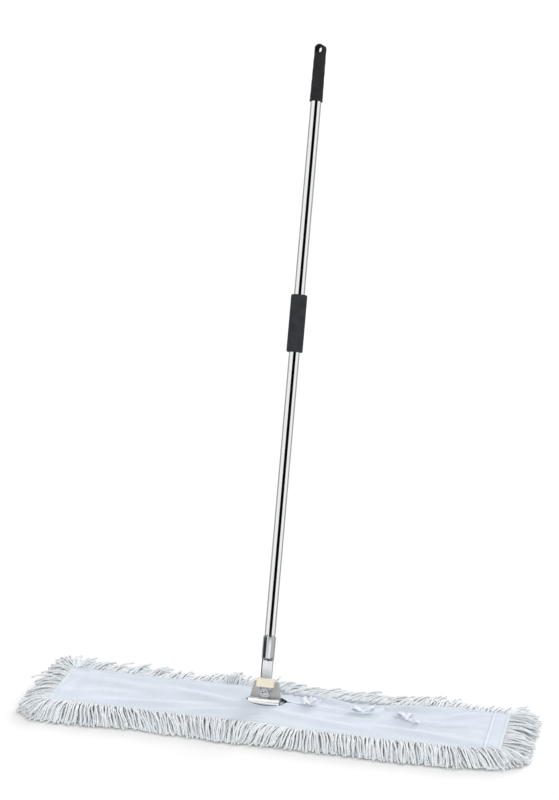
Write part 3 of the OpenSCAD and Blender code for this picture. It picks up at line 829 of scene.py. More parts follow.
# %% Height of the cloth
RAIL_Y, RAIL_FADE = 56 * MM, 26 * MM
FRAME_END_X, END_FADE = 420 * MM, 60 * MM
CROSS_X, CROSS_REACH = 36 * MM, 30 * MM
SAG = 3.4 * MM
OUTER_DROP, OUTER_FADE = 1.0 * MM, 32 * MM
FOLD_FADE = 14 * MM
NEARLY = 0.1 * MM
EDGE_DROP, EDGE_ROUND = 2.6 * MM, 4 * MM
HEM, HEM_END = 7 * MM, 1.2 * MM
HEM_THICK = 0.7 * MM
GROOVE_DEEP, GROOVE_AT, GROOVE_WIDE = 0.5 * MM, HEM + 0.8 * MM, 0.9 * MM
LIP_THICK = 0.8 * MM
LIP_CURL, LIP_REACH = 1.2 * MM, 5 * MM
ROD_BUMP, ROD_FLAT, ROD_REACH = 5.5 * MM, 4 * MM, 9 * MM


def edge_gap(x, y):
    """The distance to the nearest of the four outer edges."""
    across = np.minimum(y - front_edge(x), back_edge(x) - y)
    return np.maximum(np.minimum(across, np.minimum(x - LEFT, RIGHT - x)), 0)


def seam_map(x, y, lip_gap, quads):
    """The map that the stitches follow: the distance to the nearest edge or lip, and the way
    along that edge, for every corner of every face."""
    ends = np.minimum(x - LEFT, RIGHT - x)
    way = np.where(ends < np.minimum(edge_gap(x, y) + NEARLY, lip_gap), y, x)
    return np.stack([np.minimum(edge_gap(x, y), lip_gap), way], -1).reshape(-1, 2)[quads]


def cloth_height(x, y, lip_gap):
    """Top of the cloth: level with the wires, lower between and outside them, rounded off
    at the edges, thicker at hems, and folded. lip_gap is the distance to the nearest lip."""
    edge = edge_gap(x, y)
    inside = smoothstep(0, RAIL_FADE, RAIL_Y - np.abs(y))
    inside = inside * smoothstep(0, END_FADE, FRAME_END_X - np.abs(x))
    inside = inside * (1 - bell(np.abs(x), CROSS_X, CROSS_REACH))
    outside = smoothstep(0, OUTER_FADE, np.maximum(np.abs(y) - RAIL_Y, np.abs(x) - FRAME_END_X))
    height = COVER_TOP - SAG * inside - OUTER_DROP * outside
    height -= EDGE_DROP * (1 - np.sqrt(1 - np.clip(1 - edge / EDGE_ROUND, 0, 1) ** 2))
    height += HEM_THICK * (1 - smoothstep(HEM - HEM_END, HEM, edge))
    height -= GROOVE_DEEP * bell(edge, GROOVE_AT, GROOVE_WIDE)
    height += LIP_THICK * (1 - smoothstep(HEM - HEM_END, HEM, lip_gap))
    height += LIP_CURL * np.exp(-lip_gap / LIP_REACH)
    rod_end = np.maximum(np.abs(x + CROSS_X) - ROD_FLAT, 0) ** 2 + y**2
    height += ROD_BUMP * np.exp(-rod_end / ROD_REACH**2)
    return height + FOLD_GAIN * fold_height(x, y) * smoothstep(0, FOLD_FADE, edge)


print("cloth sags by", SAG, "below its wires at", COVER_TOP)

# %% Cloth mesh
CLOTH_THICK = 1.2 * MM
HALF_ROWS = 40
NO_LIP = 0.2
# Columns crowd at these places; counts are the columns between each two of them.
marks = [LEFT, OPENING_MIDDLE_X - OPENING_HALF_L, 26 * MM, 60 * MM, SEAM_X, RIGHT]
counts = [110, 44, 22, 120, 20]
cloth_x = np.unique(np.concatenate([bunched(a, b, n) for a, b, n in zip(marks, marks[1:], counts)]))
front_lip, back_lip = lip_lines(cloth_x)
share = bunched(0, 1, HALF_ROWS)[:, None]
front_y = front_edge(cloth_x) + share * (front_lip - front_edge(cloth_x))
back_y = back_lip + share * (back_edge(cloth_x) - back_lip)
opened = (cloth_x > OPENING_MIDDLE_X - OPENING_HALF_L) & (cloth_x < SEAM_X)
half_y = np.stack([front_y, back_y])
half_x = np.broadcast_to(cloth_x, half_y.shape)
lip_gaps = np.abs(half_y - np.stack([front_lip, back_lip])[:, None]) + np.where(opened, 0, NO_LIP)
halves = np.stack([half_x, half_y, cloth_height(half_x, half_y, lip_gaps)], -1)
starts = (0, front_y.size)
cloth_quads = np.concatenate([grid_quads(HALF_ROWS, len(cloth_x), start) for start in starts])
cloth_map = seam_map(half_x, half_y, lip_gaps, cloth_quads)
cloth_top = lay_surface("cloth_top", halves, cloth_quads, cloth_finish, maps=cloth_map)
join = cloth_top.modifiers.new("join_halves", "WELD")
join.merge_threshold = 0.05 * MM
thicken(cloth_top, "cloth_thickness", CLOTH_THICK)
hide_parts("top_cover")
print("cloth faces", len(cloth_quads))

# %% [markdown]
# ## End panel
# Beyond the seam the cloth is doubled: a flap is folded over and stitched down, which gives
# the bright double line at the right-hand end. It is the same height field, lifted by one
# thickness, with a rounded fold along its inner edge.

# %% End panel mesh
PANEL_ROWS, PANEL_COLUMNS = 90, 26
FLAP_LIFT = 1.3 * MM
# The fold and the seam: height, then middle and width.
FLAP_FOLD, FLAP_FOLD_AT = 0.6 * MM, (2 * MM, 2.2 * MM)
FLAP_SEAM, FLAP_SEAM_AT = 0.6 * MM, (6 * MM, 1.0 * MM)
FLAP_ROUND, FLAP_REACH = 1.1 * MM, 0.6 * MM
panel_x, panel_share = np.meshgrid(bunched(SEAM_X, RIGHT, PANEL_COLUMNS), bunched(0, 1, PANEL_ROWS))
panel_y = front_edge(panel_x) + panel_share * (back_edge(panel_x) - front_edge(panel_x))
fold_in = panel_x - SEAM_X
panel_z = cloth_height(panel_x, panel_y, np.full_like(panel_x, NO_LIP)) + FLAP_LIFT
panel_z += FLAP_FOLD * bell(fold_in, *FLAP_FOLD_AT)
panel_z -= FLAP_SEAM * bell(fold_in, *FLAP_SEAM_AT)
panel_z -= FLAP_ROUND * np.exp(-fold_in / FLAP_REACH)
panel_quads = grid_quads(PANEL_ROWS, PANEL_COLUMNS)
panel_map = np.stack([fold_in, panel_y], -1).reshape(-1, 2)[panel_quads]
panel_points = np.stack([panel_x, panel_y, panel_z], -1)
end_flap = lay_surface("end_flap", panel_points, panel_quads, cloth_finish, maps=panel_map)
thicken(end_flap, "flap_thickness", CLOTH_THICK)
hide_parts("end_panel")
print("end panel", PANEL_ROWS * PANEL_COLUMNS, "points")

# %% [markdown]
# ## Backing
# A second cloth closes the pocket below the frame and carries the yarn. It is hardly seen,
# but it is cloth and not a board, so it gets the same weave and a slight ripple.

# %% Backing mesh
BACKING_ROWS, BACKING_COLUMNS = 24, 120
BACKING_SINK = 0.4 * MM
BACKING_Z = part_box("bottom_backing")[1].z - BACKING_SINK
RIPPLE = 0.35 * MM
RIPPLE_ALONG, RIPPLE_ACROSS, RIPPLE_SLANT = 31 * MM, 17 * MM, 60 * MM
backing_x, backing_y = np.meshgrid(np.linspace(LEFT, RIGHT, BACKING_COLUMNS),
                                   np.linspace(FRONT, BACK, BACKING_ROWS))
slanted = backing_y / RIPPLE_ACROSS + backing_x / RIPPLE_SLANT
ripple = RIPPLE * np.sin(backing_x / RIPPLE_ALONG) * np.sin(slanted)
backing_points = np.stack([backing_x, backing_y, BACKING_Z + ripple], -1)
backing_quads = grid_quads(BACKING_ROWS, BACKING_COLUMNS)
backing_map = seam_map(backing_x, backing_y, np.full_like(backing_x, NO_LIP), backing_quads)
backing = lay_surface("backing_cloth", backing_points, backing_quads, cloth_finish,
                      maps=backing_map)
thicken(backing, "backing_thickness", CLOTH_THICK)
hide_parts("bottom_backing")
print("backing", BACKING_ROWS * BACKING_COLUMNS, "points")

# %% [markdown]
# ## Yarn strands
# The fringe is some thousands of cut lengths of twisted cotton yarn. Blender's hair could
# draw them, but hair is not a mesh that can be handed on. Here all the strands of one side
# are walked together: at each step every strand turns a little downwards and a little to
# the side, and a step that would pass through the floor is laid along it. Then one lobed
# ring is carried along every path at once, turning as it goes, like plies that are twisted.

# %% Walking the strands
STEPS = 8
LEAN_START, LEAN_GROWTH = 0.55, 0.6
CRIMP, CRIMP_WAVES = 0.16, 1.4
SEED = 7
rng = np.random.default_rng(SEED)


def walk_strands(roots, heading, lean, bow, rise, dive, length, floor_height):
    """Paths of equal steps. The slope turns from rise at the root to dive at the tip. The
    heading turns by lean, and by bow times a cosine, which swings the middle of the strand
    aside and brings its tip back; a small sine crimps each strand in its own phase. A step is
    kept above the floor height, and what it loses downwards it gains along the floor."""
    step = length / STEPS
    phase = rng.uniform(0, 1, len(roots))
    place = roots.copy()
    path = [place]
    for share in (np.arange(STEPS) + 0.5) / STEPS:
        slope = rise + (dive - rise) * share
        turn = heading + lean * (LEAN_START + LEAN_GROWTH * share) + bow * np.cos(np.pi * share)
        turn = turn + CRIMP * np.sin(2 * np.pi * (CRIMP_WAVES * share + phase))
        height = np.maximum(place[:, 2] + step * np.sin(slope), np.minimum(floor_height, place[:, 2]))
        drop = height - place[:, 2]
        run = np.sqrt(np.maximum(step**2 - drop**2, 0))
        place = place + np.stack([run * np.cos(turn), run * np.sin(turn), drop], -1)
        path.append(place)
    return np.stack(path, 1)


print("strand", STEPS, "steps")

# %% Rings and faces
SIDES = 6
TWIST = np.radians(34)
RING = 2 * np.pi * np.arange(SIDES) / SIDES + TWIST * np.arange(STEPS + 1)[:, None]
LOBES = np.where(np.arange(SIDES) % 2, 0.93, 1.04)
TAPER = np.linspace(0.92, 1.0, STEPS + 1)


def strand_points(paths, heading, radius):
    """Rings round the paths: the side vector is level and square to the heading, the other
    is the tangent crossed with it; the radius alternates so that three lobes wind along."""
    tangent = np.gradient(paths, axis=1)
    tangent /= np.linalg.norm(tangent, axis=2, keepdims=True)
    side = np.stack([-np.sin(heading), np.cos(heading), 0 * heading], -1)[:, None, :]
    side = side - tangent * np.sum(side * tangent, 2, keepdims=True)
    side /= np.linalg.norm(side, axis=2, keepdims=True)
    other = np.cross(tangent, side)
    size = radius[:, None, None] * TAPER[:, None] * LOBES
    return (paths[:, :, None, :] + (size * np.cos(RING))[..., None] * side[:, :, None, :]
            + (size * np.sin(RING))[..., None] * other[:, :, None, :])


def strand_faces(count):
    """Faces and maps of many strands: the cells between rings, and two faces to close each end."""
    ring, side = np.meshgrid(np.arange(STEPS), np.arange(SIDES), indexing="ij")
    after = (side + 1) % SIDES
    wall = np.stack([ring * SIDES + side, ring * SIDES + after, (ring + 1) * SIDES + after,
                     (ring + 1) * SIDES + side], -1).reshape(-1, 4)
    root_end = np.array([[0, 3, 2, 1], [0, 5, 4, 3]])
    tip_end = STEPS * SIDES + np.array([[0, 1, 2, 3], [0, 3, 4, 5]])
    one = np.concatenate([wall, root_end, tip_end])
    turn = np.stack([side, side + 1, side + 1, side], -1).reshape(-1, 4) / SIDES
    way = np.stack([ring, ring, ring + 1, ring + 1], -1).reshape(-1, 4) / STEPS
    turn = np.concatenate([turn, np.zeros((4, 4))])
    way = np.concatenate([way, np.zeros((2, 4)), np.ones((2, 4))])
    quads = one[None] + ((STEPS + 1) * SIDES * np.arange(count))[:, None, None]
    return quads.reshape(-1, 4), way, turn


print("strand", SIDES, "sides", len(strand_faces(1)[0]), "faces")

# %% Laying the yarn
YARN_RADIUS = (1.85, 2.3)
STRAND_TINT = (0.94, 1.03)
# Painted shade: each strand is darker at its root and down both flanks.
ROOT_PAINTED_SHADE, ROOT_FADE = 0.93, (0, 0.5)
FLANK_PAINTED_SHADE, FLANK_FADE = 0.80, (-0.3, 0.7)


def lay_yarn(name, roots, heading, lean, bow, rise, dive, length, floor_height, shade, node):
    """One mesh of strands that stands for a plain solid. Each strand has its own tint and a
    painted shade, and all carry more painted shade at the root and down both flanks, where
    neighbours shut out the light."""
    count = len(roots)
    radius = rng.uniform(*YARN_RADIUS, count) * MM
    paths = walk_strands(roots, heading, lean, bow, rise, dive, length, floor_height)
    points = strand_points(paths, heading, radius)
    quads, way, turn = strand_faces(count)
    maps = np.stack([way[None] * length[:, None, None], np.broadcast_to(turn, (count, *turn.shape))], -1)
    along = ROOT_PAINTED_SHADE + (1 - ROOT_PAINTED_SHADE) * smoothstep(*ROOT_FADE, np.linspace(0, 1, STEPS + 1))
    round_about = FLANK_PAINTED_SHADE + (1 - FLANK_PAINTED_SHADE) * smoothstep(*FLANK_FADE, np.sin(RING))
    tint_and_shade = (shade * rng.uniform(*STRAND_TINT, count))[:, None, None] * along[:, None] * round_about
    piece = lay_surface(name, points, quads, yarn_finish, maps=maps, tint_and_shade=tint_and_shade.ravel())
    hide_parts(node)
    print(name, count, "strands", 2 * len(quads), "triangles")
    return piece


print("yarn radius", YARN_RADIUS, "mm")

# %% [markdown]
# ## Fringe
# Strands lie in layers that are sewn one above the other, and at the front and the ends the
# top one comes out over the hem. Handling draws neighbours together into tufts and opens
# dark partings between them, so each strand leans towards the middle of its own tuft and
# bows away from the partings near it. The front falls over to the floor, combed now to one
# side and now to the other.

# %% Layers and tufts
LAYERS = 5
PITCH = 4.2 * MM
ROOT_INSET = 3 * MM
ROOT_TOP = 20.2 * MM
ROOT_STEP = 2.7 * MM
ROOT_SCATTER = 0.4 * MM
OVER_HEM = 2.9 * MM
CORNER_ROUND = 9 * MM
CORNER_STRANDS = 30
# Painted shade on each layer of yarn: the lower layers are darker.
LAYER_PAINTED_SHADE = np.array([0.98, 0.98, 0.96, 0.90, 0.80])
# Shortest and longest gap, then the mean gap that sets how many there are, in millimetres.
TUFT_GAPS = (7, 19, 12)
PARTING_GAPS = (10, 38, 22)
PARTING_DEPTH = (0.4, 1.9)
PARTING_REACH = 6 * MM


def uneven_places(low, high, shortest, longest, mean):
    """Places along an edge with uneven gaps."""
    return low + np.cumsum(rng.uniform(shortest, longest, int((high - low) / (mean * MM)))) * MM


def tuft_lean(way, middles, pull, length):
    """The angle by which each strand leans to bring its tip towards its tuft's middle."""
    nearest = middles[np.argmin(np.abs(way[:, None] - middles[None, :]), axis=1)]
    return np.arctan2(pull * (nearest - way), length)


def partings(way, low, high, length):
    """The bow that opens dark partings at uneven places along an edge: a parting pushes its
    neighbours away from it, less and less with their distance from it."""
    spots = uneven_places(low, high, *PARTING_GAPS)
    depth = rng.uniform(*PARTING_DEPTH, len(spots)) * MM
    off = way[:, None] - spots[None, :]
    push = np.sum(np.sign(off) * depth * np.exp(-np.abs(off) / PARTING_REACH), axis=1)
    return np.pi * push / length


def edge_layers(low, high):
    """Ways along an edge for every layer, staggered and a little uneven, with layer numbers."""
    count = int((high - low) / PITCH)
    layer = np.repeat(np.arange(LAYERS), count)
    place = np.tile(np.linspace(low, high, count), LAYERS) + 0.5 * PITCH * (layer % 2)
    return place + rng.normal(0, ROOT_SCATTER, len(place)), layer


def degrees_about(mean, spread, count):
    """Random angles about a mean, in radians."""
    return np.radians(rng.normal(mean, spread, count))


print("layers", LAYERS, "pitch", PITCH)

# %% Front fringe
# Place along the edge, and the angle by which the strands there are combed to the right.
COMB = np.array([
    (-0.42, -0.40), (-0.37, 0.00), (-0.33, 0.45), (-0.28, 0.70), (-0.15, 0.60), (-0.09, 0.35),
    (-0.03, 0.05), (0.01, -0.35), (0.07, -0.40), (0.10, 0.10), (0.13, 0.35), (0.30, 0.30),
    (0.34, 0.45), (0.38, 0.25), (0.40, 0.60), (0.45, 0.95), (0.49, 1.00),
])
FRONT_LENGTH, FRONT_SPREAD, FRONT_LAYER_CUT = 67, 2.5, 5.0
SLACK_CUT, SLACK_LINE = 7 * MM, 5 * MM
CORNER_CUT, CORNER_FROM = 0.16, (0.45, 0.475)
FRONT_PULL, FRONT_REST = 0.12, (3.0, 5.0)
# Mean and spread of the angles in degrees, and how they change from layer to layer.
FRONT_LEAN, FRONT_RISE, FRONT_DIVE = (0, 4), (24, 4), (-70, 6)
FRONT_RISE_STEP, FRONT_DIVE_STEP = np.radians(-7), np.radians(8)
way, layer = edge_layers(LEFT + CORNER_ROUND, RIGHT - CORNER_ROUND)
count = len(way)
roots = np.stack([way, front_edge(way) + ROOT_INSET, ROOT_TOP + OVER_HEM - ROOT_STEP * layer], -1)
hangs_out = FRONT - front_edge(way) > SLACK_LINE
length = (rng.normal(FRONT_LENGTH, FRONT_SPREAD, count) - FRONT_LAYER_CUT * layer) * MM
length = (length - SLACK_CUT * hangs_out) * (1 - CORNER_CUT * smoothstep(*CORNER_FROM, way))
tufts = uneven_places(LEFT, RIGHT, *TUFT_GAPS)
lean = np.interp(way, *COMB.T) + tuft_lean(way, tufts, FRONT_PULL, length)
lean = lean + degrees_about(*FRONT_LEAN, count)
bow = partings(way, LEFT, RIGHT, length)
rise = degrees_about(*FRONT_RISE, count) + FRONT_RISE_STEP * layer
dive = degrees_about(*FRONT_DIVE, count) + FRONT_DIVE_STEP * layer
rest = rng.uniform(*FRONT_REST, count) * MM
lay_yarn("yarn_front", roots, np.full(count, -np.pi / 2), lean, bow, rise, dive, length, rest,
         LAYER_PAINTED_SHADE[layer], "fringe_front")

# %% [markdown]
# ## Back fringe
# The back is combed to the right and stands higher. It lies in handfuls that grow longer and
# higher up to a step, where the next one starts. Right of the clip its top strands flop
# over the cloth, one clump left of the clip stands up, a stretch further left is worn short
# and the right-hand end is thin. Each of these is a mask along the edge that changes the
# length and the slope, which is easier to adjust than strands that are combed one by one.

# %% Masks along the back edge
HANDFUL, HANDFUL_SHIFT, HANDFUL_WAVE = 0.047, 0.3, 0.06
FLOP_FROM, FLOP_TO = (0.00, 0.03), (0.34, 0.28)
FLOP_SHARE, FLOP_LAYERS = (0.4, 1.0), 2
THIN_FROM = (0.355, 0.39)
CLUMP = (-0.085, 0.020)
WORN = (-0.185, 0.045)
way, layer = edge_layers(LEFT + CORNER_ROUND, RIGHT - CORNER_ROUND)
count = len(way)
flop = smoothstep(*FLOP_FROM, way) * smoothstep(*FLOP_TO, way)
flop = flop * rng.uniform(*FLOP_SHARE, count) * (layer < FLOP_LAYERS)
thin = smoothstep(*THIN_FROM, way)
swell = ((way / HANDFUL + HANDFUL_SHIFT * np.sin(way / HANDFUL_WAVE)) % 1 - 0.5) * (1 - thin)
masks = {"flop": flop, "thin": thin, "swell": swell, "clump": bell(way, *CLUMP),
         "worn": bell(way, *WORN)}
print("masks along the back edge", list(masks))

# %% Back fringe
BACK_LENGTH, BACK_SPREAD, BACK_LAYER_CUT = 54, 2.0, 1.5
# A painted shade over the whole back fringe, and how much darker the clump is.
BACK_PAINTED_SHADE, CLUMP_SHADE = 0.95, 0.10
FLOP_INSET, FLOP_LIFT, FLOP_LINE = 20 * MM, 0.6 * MM, 0.1
BACK_COMB, COMB_WAVE, COMB_LONG = -0.42, 0.16, 0.07
BACK_PULL, BACK_REST = 0.35, (3.0, 6.0)
BACK_LEAN, BACK_RISE, BACK_DIVE = (0, 4), (18, 3), (-24, 5)
BACK_STEP = np.radians(-4)
# What each mask adds to the length, as a share of it, to the comb in radians and to the
# rise in degrees.
MASK_LENGTH = {"swell": 0.26, "thin": -0.30, "clump": -0.10, "worn": -0.24}
MASK_COMB = {"flop": -0.55, "clump": 0.2}
MASK_RISE = {"clump": 24, "swell": 10, "thin": -4, "flop": -10, "worn": -6}


def masked(start, changes):
    """A value along the back edge plus what each mask adds to it."""
    return sum((change * masks[mask] for mask, change in changes.items()), start)


root_y = back_edge(way) - ROOT_INSET - FLOP_INSET * flop
root_z = np.where(flop > FLOP_LINE, COVER_TOP + FLOP_LIFT, ROOT_TOP - ROOT_STEP * layer)
roots = np.stack([way, root_y, root_z], -1)
length = (rng.normal(BACK_LENGTH, BACK_SPREAD, count) - BACK_LAYER_CUT * layer) * MM
length = length * masked(1, MASK_LENGTH)
tufts = uneven_places(LEFT, RIGHT, *TUFT_GAPS)
comb = masked(BACK_COMB - COMB_WAVE * np.sin(way / COMB_LONG), MASK_COMB)
lean = comb - tuft_lean(way, tufts, BACK_PULL, length) + degrees_about(*BACK_LEAN, count)
bow = -partings(way, LEFT, RIGHT, length)
rise = np.radians(masked(0, MASK_RISE)) + degrees_about(*BACK_RISE, count) + BACK_STEP * layer
dive = degrees_about(*BACK_DIVE, count) + BACK_STEP * layer
rest = rng.uniform(*BACK_REST, count) * MM
lay_yarn("yarn_back", roots, np.full(count, np.pi / 2), lean, bow, rise, dive, length, rest,
         BACK_PAINTED_SHADE * LAYER_PAINTED_SHADE[layer] * (1 - CLUMP_SHADE * masks["clump"]), "fringe_back")

# %% [markdown]
# ## End fringes
# At both ends the strands go on round the corners and spread like a fan. The straight run
# and its two fans are walked as one set of strands, so that no gap shows where they meet.

# %% End fringes with their corner fans
END_LENGTH, END_SPREAD, END_LAYER_CUT = 62, 4.5, 2.0
END_REST = (3.0, 5.5)
# Spread of the angles in degrees, and how the rise changes from layer to layer.
LEAN_SPREAD, RISE_SPREAD, DIVE_SPREAD = 9, 8, 12
END_RISE_STEP = np.radians(-6)
END_WAVE, END_WAVE_LONG, END_WAVE_STEP = 0.16, 0.012, 0.3
FAN_SPAN, FAN_SCATTER = (0.03, 0.97), 0.03
# Middle and width of the two fans, as sines of the heading.
BACK_FAN, FRONT_FAN = (0.75, 0.45), (-0.70, 0.35)


def end_fringe(name, edge_x, outward, node, mean_rise, mean_dive, spread_out, back_lift, back_open,
               front_cut, front_open):
    """A short straight run, whose strands lean apart by spread_out, and two fans whose roots
    lie on rounded corners. The back fan stands up by back_lift degrees and the front fan is
    shorter by front_cut; back_open and front_open are how many quarter turns they cover."""
    way, layer = edge_layers(FRONT + CORNER_ROUND, BACK - CORNER_ROUND)
    straight = np.full(len(way), 0.0 if outward > 0 else np.pi)
    run = np.stack([np.full(len(way), edge_x - outward * ROOT_INSET), way], -1)
    fan_layer = np.repeat(np.arange(LAYERS), CORNER_STRANDS)
    sweep = np.tile(np.linspace(*FAN_SPAN, CORNER_STRANDS), LAYERS) * np.pi / 2
    sweep = sweep + rng.normal(0, FAN_SCATTER, len(sweep))
    back_angle = back_open * sweep if outward > 0 else np.pi - back_open * sweep
    front_angle = -front_open * sweep if outward > 0 else front_open * sweep - np.pi
    fans = []
    for angle, corner_y in ((back_angle, BACK - CORNER_ROUND), (front_angle, FRONT + CORNER_ROUND)):
        middle = np.array([edge_x - outward * CORNER_ROUND, corner_y])
        fans.append(middle + (CORNER_ROUND - ROOT_INSET) * np.stack([np.cos(angle), np.sin(angle)], -1))
    plan = np.concatenate([run, *fans])
    heading = np.concatenate([straight, back_angle, front_angle])
    layer = np.concatenate([layer, fan_layer, fan_layer])
    count = len(plan)
    root_z = ROOT_TOP + OVER_HEM - ROOT_STEP * layer
    roots = np.concatenate([plan, root_z[:, None]], 1)
    lift = np.radians(back_lift) * bell(np.sin(heading), *BACK_FAN)
    front_fan = bell(np.sin(heading), *FRONT_FAN)
    length = (rng.normal(END_LENGTH, END_SPREAD, count) - END_LAYER_CUT * layer) * MM
    length = length * (1 - front_cut * front_fan)
    lean = degrees_about(0, LEAN_SPREAD, count)
    lean = lean + END_WAVE * np.sin(plan[:, 1] / END_WAVE_LONG + layer * END_WAVE_STEP)
    from_middle = (2 * way - FRONT - BACK) / (BACK - FRONT)
    lean[:len(way)] += outward * spread_out * from_middle
    rise = degrees_about(mean_rise, RISE_SPREAD, count) + END_RISE_STEP * layer + lift
    dive = degrees_about(mean_dive, DIVE_SPREAD, count) + lift
    rest = rng.uniform(*END_REST, count) * MM
    bow = outward * partings(plan[:, 1], FRONT, BACK, length)
    return lay_yarn(name, roots, heading, lean, bow, rise, dive, length, rest, LAYER_PAINTED_SHADE[layer], node)


end_fringe("yarn_left", LEFT, -1, "fringe_left", mean_rise=10, mean_dive=-44, spread_out=0.45,
           back_lift=12, back_open=1.30, front_cut=0.05, front_open=0.85)
end_fringe("yarn_right", RIGHT, 1, "fringe_right", mean_rise=4, mean_dive=-34, spread_out=0.10,
           back_lift=0, back_open=0.80, front_cut=0.42, front_open=0.60)

# %% [markdown]
# ## Underside
# Below the backing the same yarn is sewn in long rows whose strands lie flat on the floor.
# It is the working side of the mop, so it is built as strands too, in fewer rows.

# %% Underside mesh
UNDER_ROWS, UNDER_MARGIN = 7, 12 * MM
UNDER_PITCH, UNDER_END = 5.6 * MM, 6 * MM
UNDER_ROOT, UNDER_SCATTER = 11.5 * MM, 1.2 * MM
UNDER_LEAN, UNDER_RISE, UNDER_DIVE = (0, 22), (-16, 5), (-34, 8)
UNDER_LENGTH, UNDER_REST = (30, 42), (3.0, 8.0)
row_y = np.linspace(FRONT + UNDER_MARGIN, BACK - UNDER_MARGIN, UNDER_ROWS)
in_row = np.arange(LEFT + UNDER_END, RIGHT - UNDER_END, UNDER_PITCH)
under_x, under_y = (grid.ravel() for grid in np.meshgrid(in_row, row_y))
count = len(under_x)
under_x = under_x + rng.normal(0, UNDER_SCATTER, count)
roots = np.stack([under_x, under_y, np.full(count, UNDER_ROOT)], -1)
flip = np.where(np.arange(count) % 2, 1.0, -1.0)
lean, rise, dive = (degrees_about(*angles, count) for angles in (UNDER_LEAN, UNDER_RISE, UNDER_DIVE))
length, rest = (rng.uniform(*span, count) * MM for span in (UNDER_LENGTH, UNDER_REST))
lay_yarn("yarn_underside", roots, flip * np.pi / 2, lean, np.zeros(count), rise, dive, length, rest,
         np.ones(count), "yarn_pad")

# %% [markdown]
# ## Ties
# Three short tapes close the slit over the frame. Each is tied in a small bow: two loops, a
# wrap in the middle and two loose tails. A tape is a ribbon: a path, and a width vector at
# each point of the path that may turn as it goes, which is what twists the tails.

# %% Ribbons
TAPE_WIDE, TAPE_THICK = 11 * MM, 0.7 * MM
TAPE_POINTS, TAPE_ACROSS = 27, 5
TAPE_CUP = 0.4 * MM


def ribbon(path, width_vector, width, cup=TAPE_CUP):
    """Points of a tape: the path plus a share of the width vector, cupped a little upwards
    along both edges. The width may change along the path."""
    share = np.linspace(-0.5, 0.5, TAPE_ACROSS)
    wide = np.broadcast_to(width, len(path))[:, None] * share[None, :]
    points = path[:, None, :] + wide[..., None] * width_vector[:, None, :]
    points[..., 2] += cup * (2 * share[None, :]) ** 2
    return points


print("tape", TAPE_WIDE, "by", TAPE_THICK)

# %% Loops and wrap
LOOP_START, LOOP_CUP = 0.12, 1.2 * MM
LOOP_BASE, LOOP_LEAST = 2.4 * MM, 0.9 * MM
LOOP_OPEN, LOOP_PINCH, LOOP_SLOPE = 0.5, 0.3, 0.3
GATHERED = 0.55
WRAP_POINTS, WRAP_WIDE = 21, 0.75 * TAPE_WIDE
WRAP_HALF, WRAP_MIDDLE, WRAP_RISE = 4.6 * MM, 3.2 * MM, 2.9 * MM


def bow_loop(angle, reach, height):
    """A drop-shaped loop that runs out at an angle and back by a cosine, rises and falls by
    a sine, and is gathered to half its width at the knot."""
    turn = np.linspace(LOOP_START, 2 * np.pi - LOOP_START, TAPE_POINTS)
    share = (1 - np.cos(turn)) / 2
    opening = LOOP_OPEN * np.sin(turn) * (LOOP_PINCH + (1 - LOOP_PINCH) * share)
    lift = np.maximum(LOOP_BASE + height * (opening + LOOP_SLOPE * share), LOOP_LEAST)
    c, s = np.cos(np.radians(angle)), np.sin(np.radians(angle))
    path = np.stack([reach * share * c, reach * share * s, lift], -1)
    square = np.broadcast_to(np.array([-s, c, 0.0]), path.shape)
    return ribbon(path, square, TAPE_WIDE * (GATHERED + (1 - GATHERED) * np.sqrt(share)), LOOP_CUP)


def bow_wrap(angle):
    """A band round the middle: an oval across the bow, as wide as the knot."""
    turn = np.linspace(0, 2 * np.pi, WRAP_POINTS)
    c, s = np.cos(np.radians(angle)), np.sin(np.radians(angle))
    out = WRAP_HALF * np.cos(turn)
    path = np.stack([-s * out, c * out, WRAP_MIDDLE + WRAP_RISE * np.sin(turn)], -1)
    along = np.broadcast_to(np.array([c, s, 0.0]), path.shape)
    return ribbon(path, along, WRAP_WIDE, cup=0.0)


print("loop and wrap", bow_loop(0, TAPE_WIDE, TAPE_WIDE).shape, bow_wrap(0).shape)

# %% Tails
TAIL_WIDE = 0.8 * TAPE_WIDE
TAIL_TWIST = (0.2, 0.9)
TAIL_BASE, TAIL_EDGE, TAIL_KNOT = 1.0 * MM, 3.8 * MM, 1.8 * MM


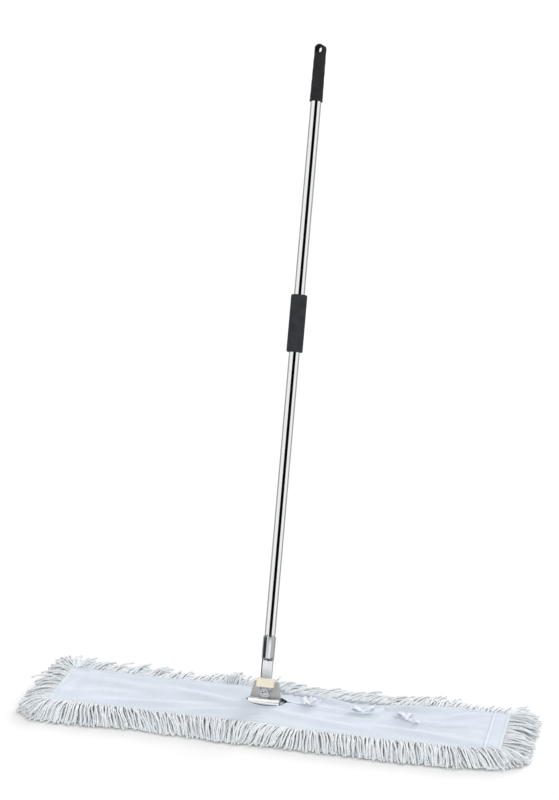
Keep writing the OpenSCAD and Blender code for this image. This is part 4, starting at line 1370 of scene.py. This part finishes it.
def bow_tail(angle, bend, length, turns):
    """A loose end that runs out at an angle, bends as it goes and turns about its own line."""
    way = np.linspace(0, 1, TAPE_POINTS)
    heading = np.radians(angle + bend * way)
    step = length / (TAPE_POINTS - 1)
    flat = np.cumsum(np.stack([np.cos(heading), np.sin(heading)], -1) * step, axis=0)
    twist = turns * np.pi * smoothstep(*TAIL_TWIST, way)
    lift = TAIL_BASE + TAIL_EDGE * np.abs(np.sin(twist)) + TAIL_KNOT * (1 - way) ** 2
    path = np.concatenate([flat, lift[:, None]], 1)
    level = np.cos(twist)
    square = np.stack([-np.sin(heading) * level, np.cos(heading) * level, np.sin(twist)], -1)
    return ribbon(path, square, TAIL_WIDE)


print("tail", TAIL_WIDE, "wide")

# %% Tie meshes
# Name, node, place; loops of angle, reach, height; angle of the wrap; tails of angle, bend,
# length, half turns. Lengths are in millimetres.
TIES = [
    ("bow_near", "tie_near", 88, [(146, 18, 15), (38, 20, 13)], 70,
     [(95, -25, 24, 0.3), (20, 25, 27, 0.5)]),
    ("bow_middle", "tie_middle", 201, [(168, 22, 9), (30, 23, 12)], 5,
     [(150, 20, 30, 0.6), (15, 12, 42, 0.4)]),
    ("bow_far", "tie_far", 290, [(140, 24, 8), (70, 17, 7)], 15,
     [(125, 12, 36, 1.4), (-30, 30, 28, 1.0)]),
]
TIE_LIFT = 0.2 * MM
FAR_FROM_HEM = 0.1


def tie(name, node, place, loops, wrap, tails):
    """Loops, wrap and tails in one mesh, set down on the cloth over the slit."""
    parts = [bow_loop(angle, reach * MM, height * MM) for angle, reach, height in loops]
    parts.append(bow_wrap(wrap))
    parts += [bow_tail(angle, bend, length * MM, turns) for angle, bend, length, turns in tails]
    starts = np.cumsum([0] + [part.size // 3 for part in parts])
    quads = np.concatenate([grid_quads(*part.shape[:2], start) for part, start in zip(parts, starts)])
    points = np.concatenate([part.reshape(-1, 3) for part in parts])
    points += np.array([place * MM, float(slit_line(np.array(place * MM))), COVER_TOP + TIE_LIFT])
    no_seam = np.full((len(quads), 4, 2), FAR_FROM_HEM)
    piece = lay_surface(name, points, quads, tape_finish, maps=no_seam)
    thicken(piece, "tape_thickness", TAPE_THICK, offset=0)
    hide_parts(node)
    return piece


ties = [tie(*row) for row in TIES]
print("ties", [piece.name for piece in ties])

# %% Last update of the scene
bpy.context.view_layer.update()
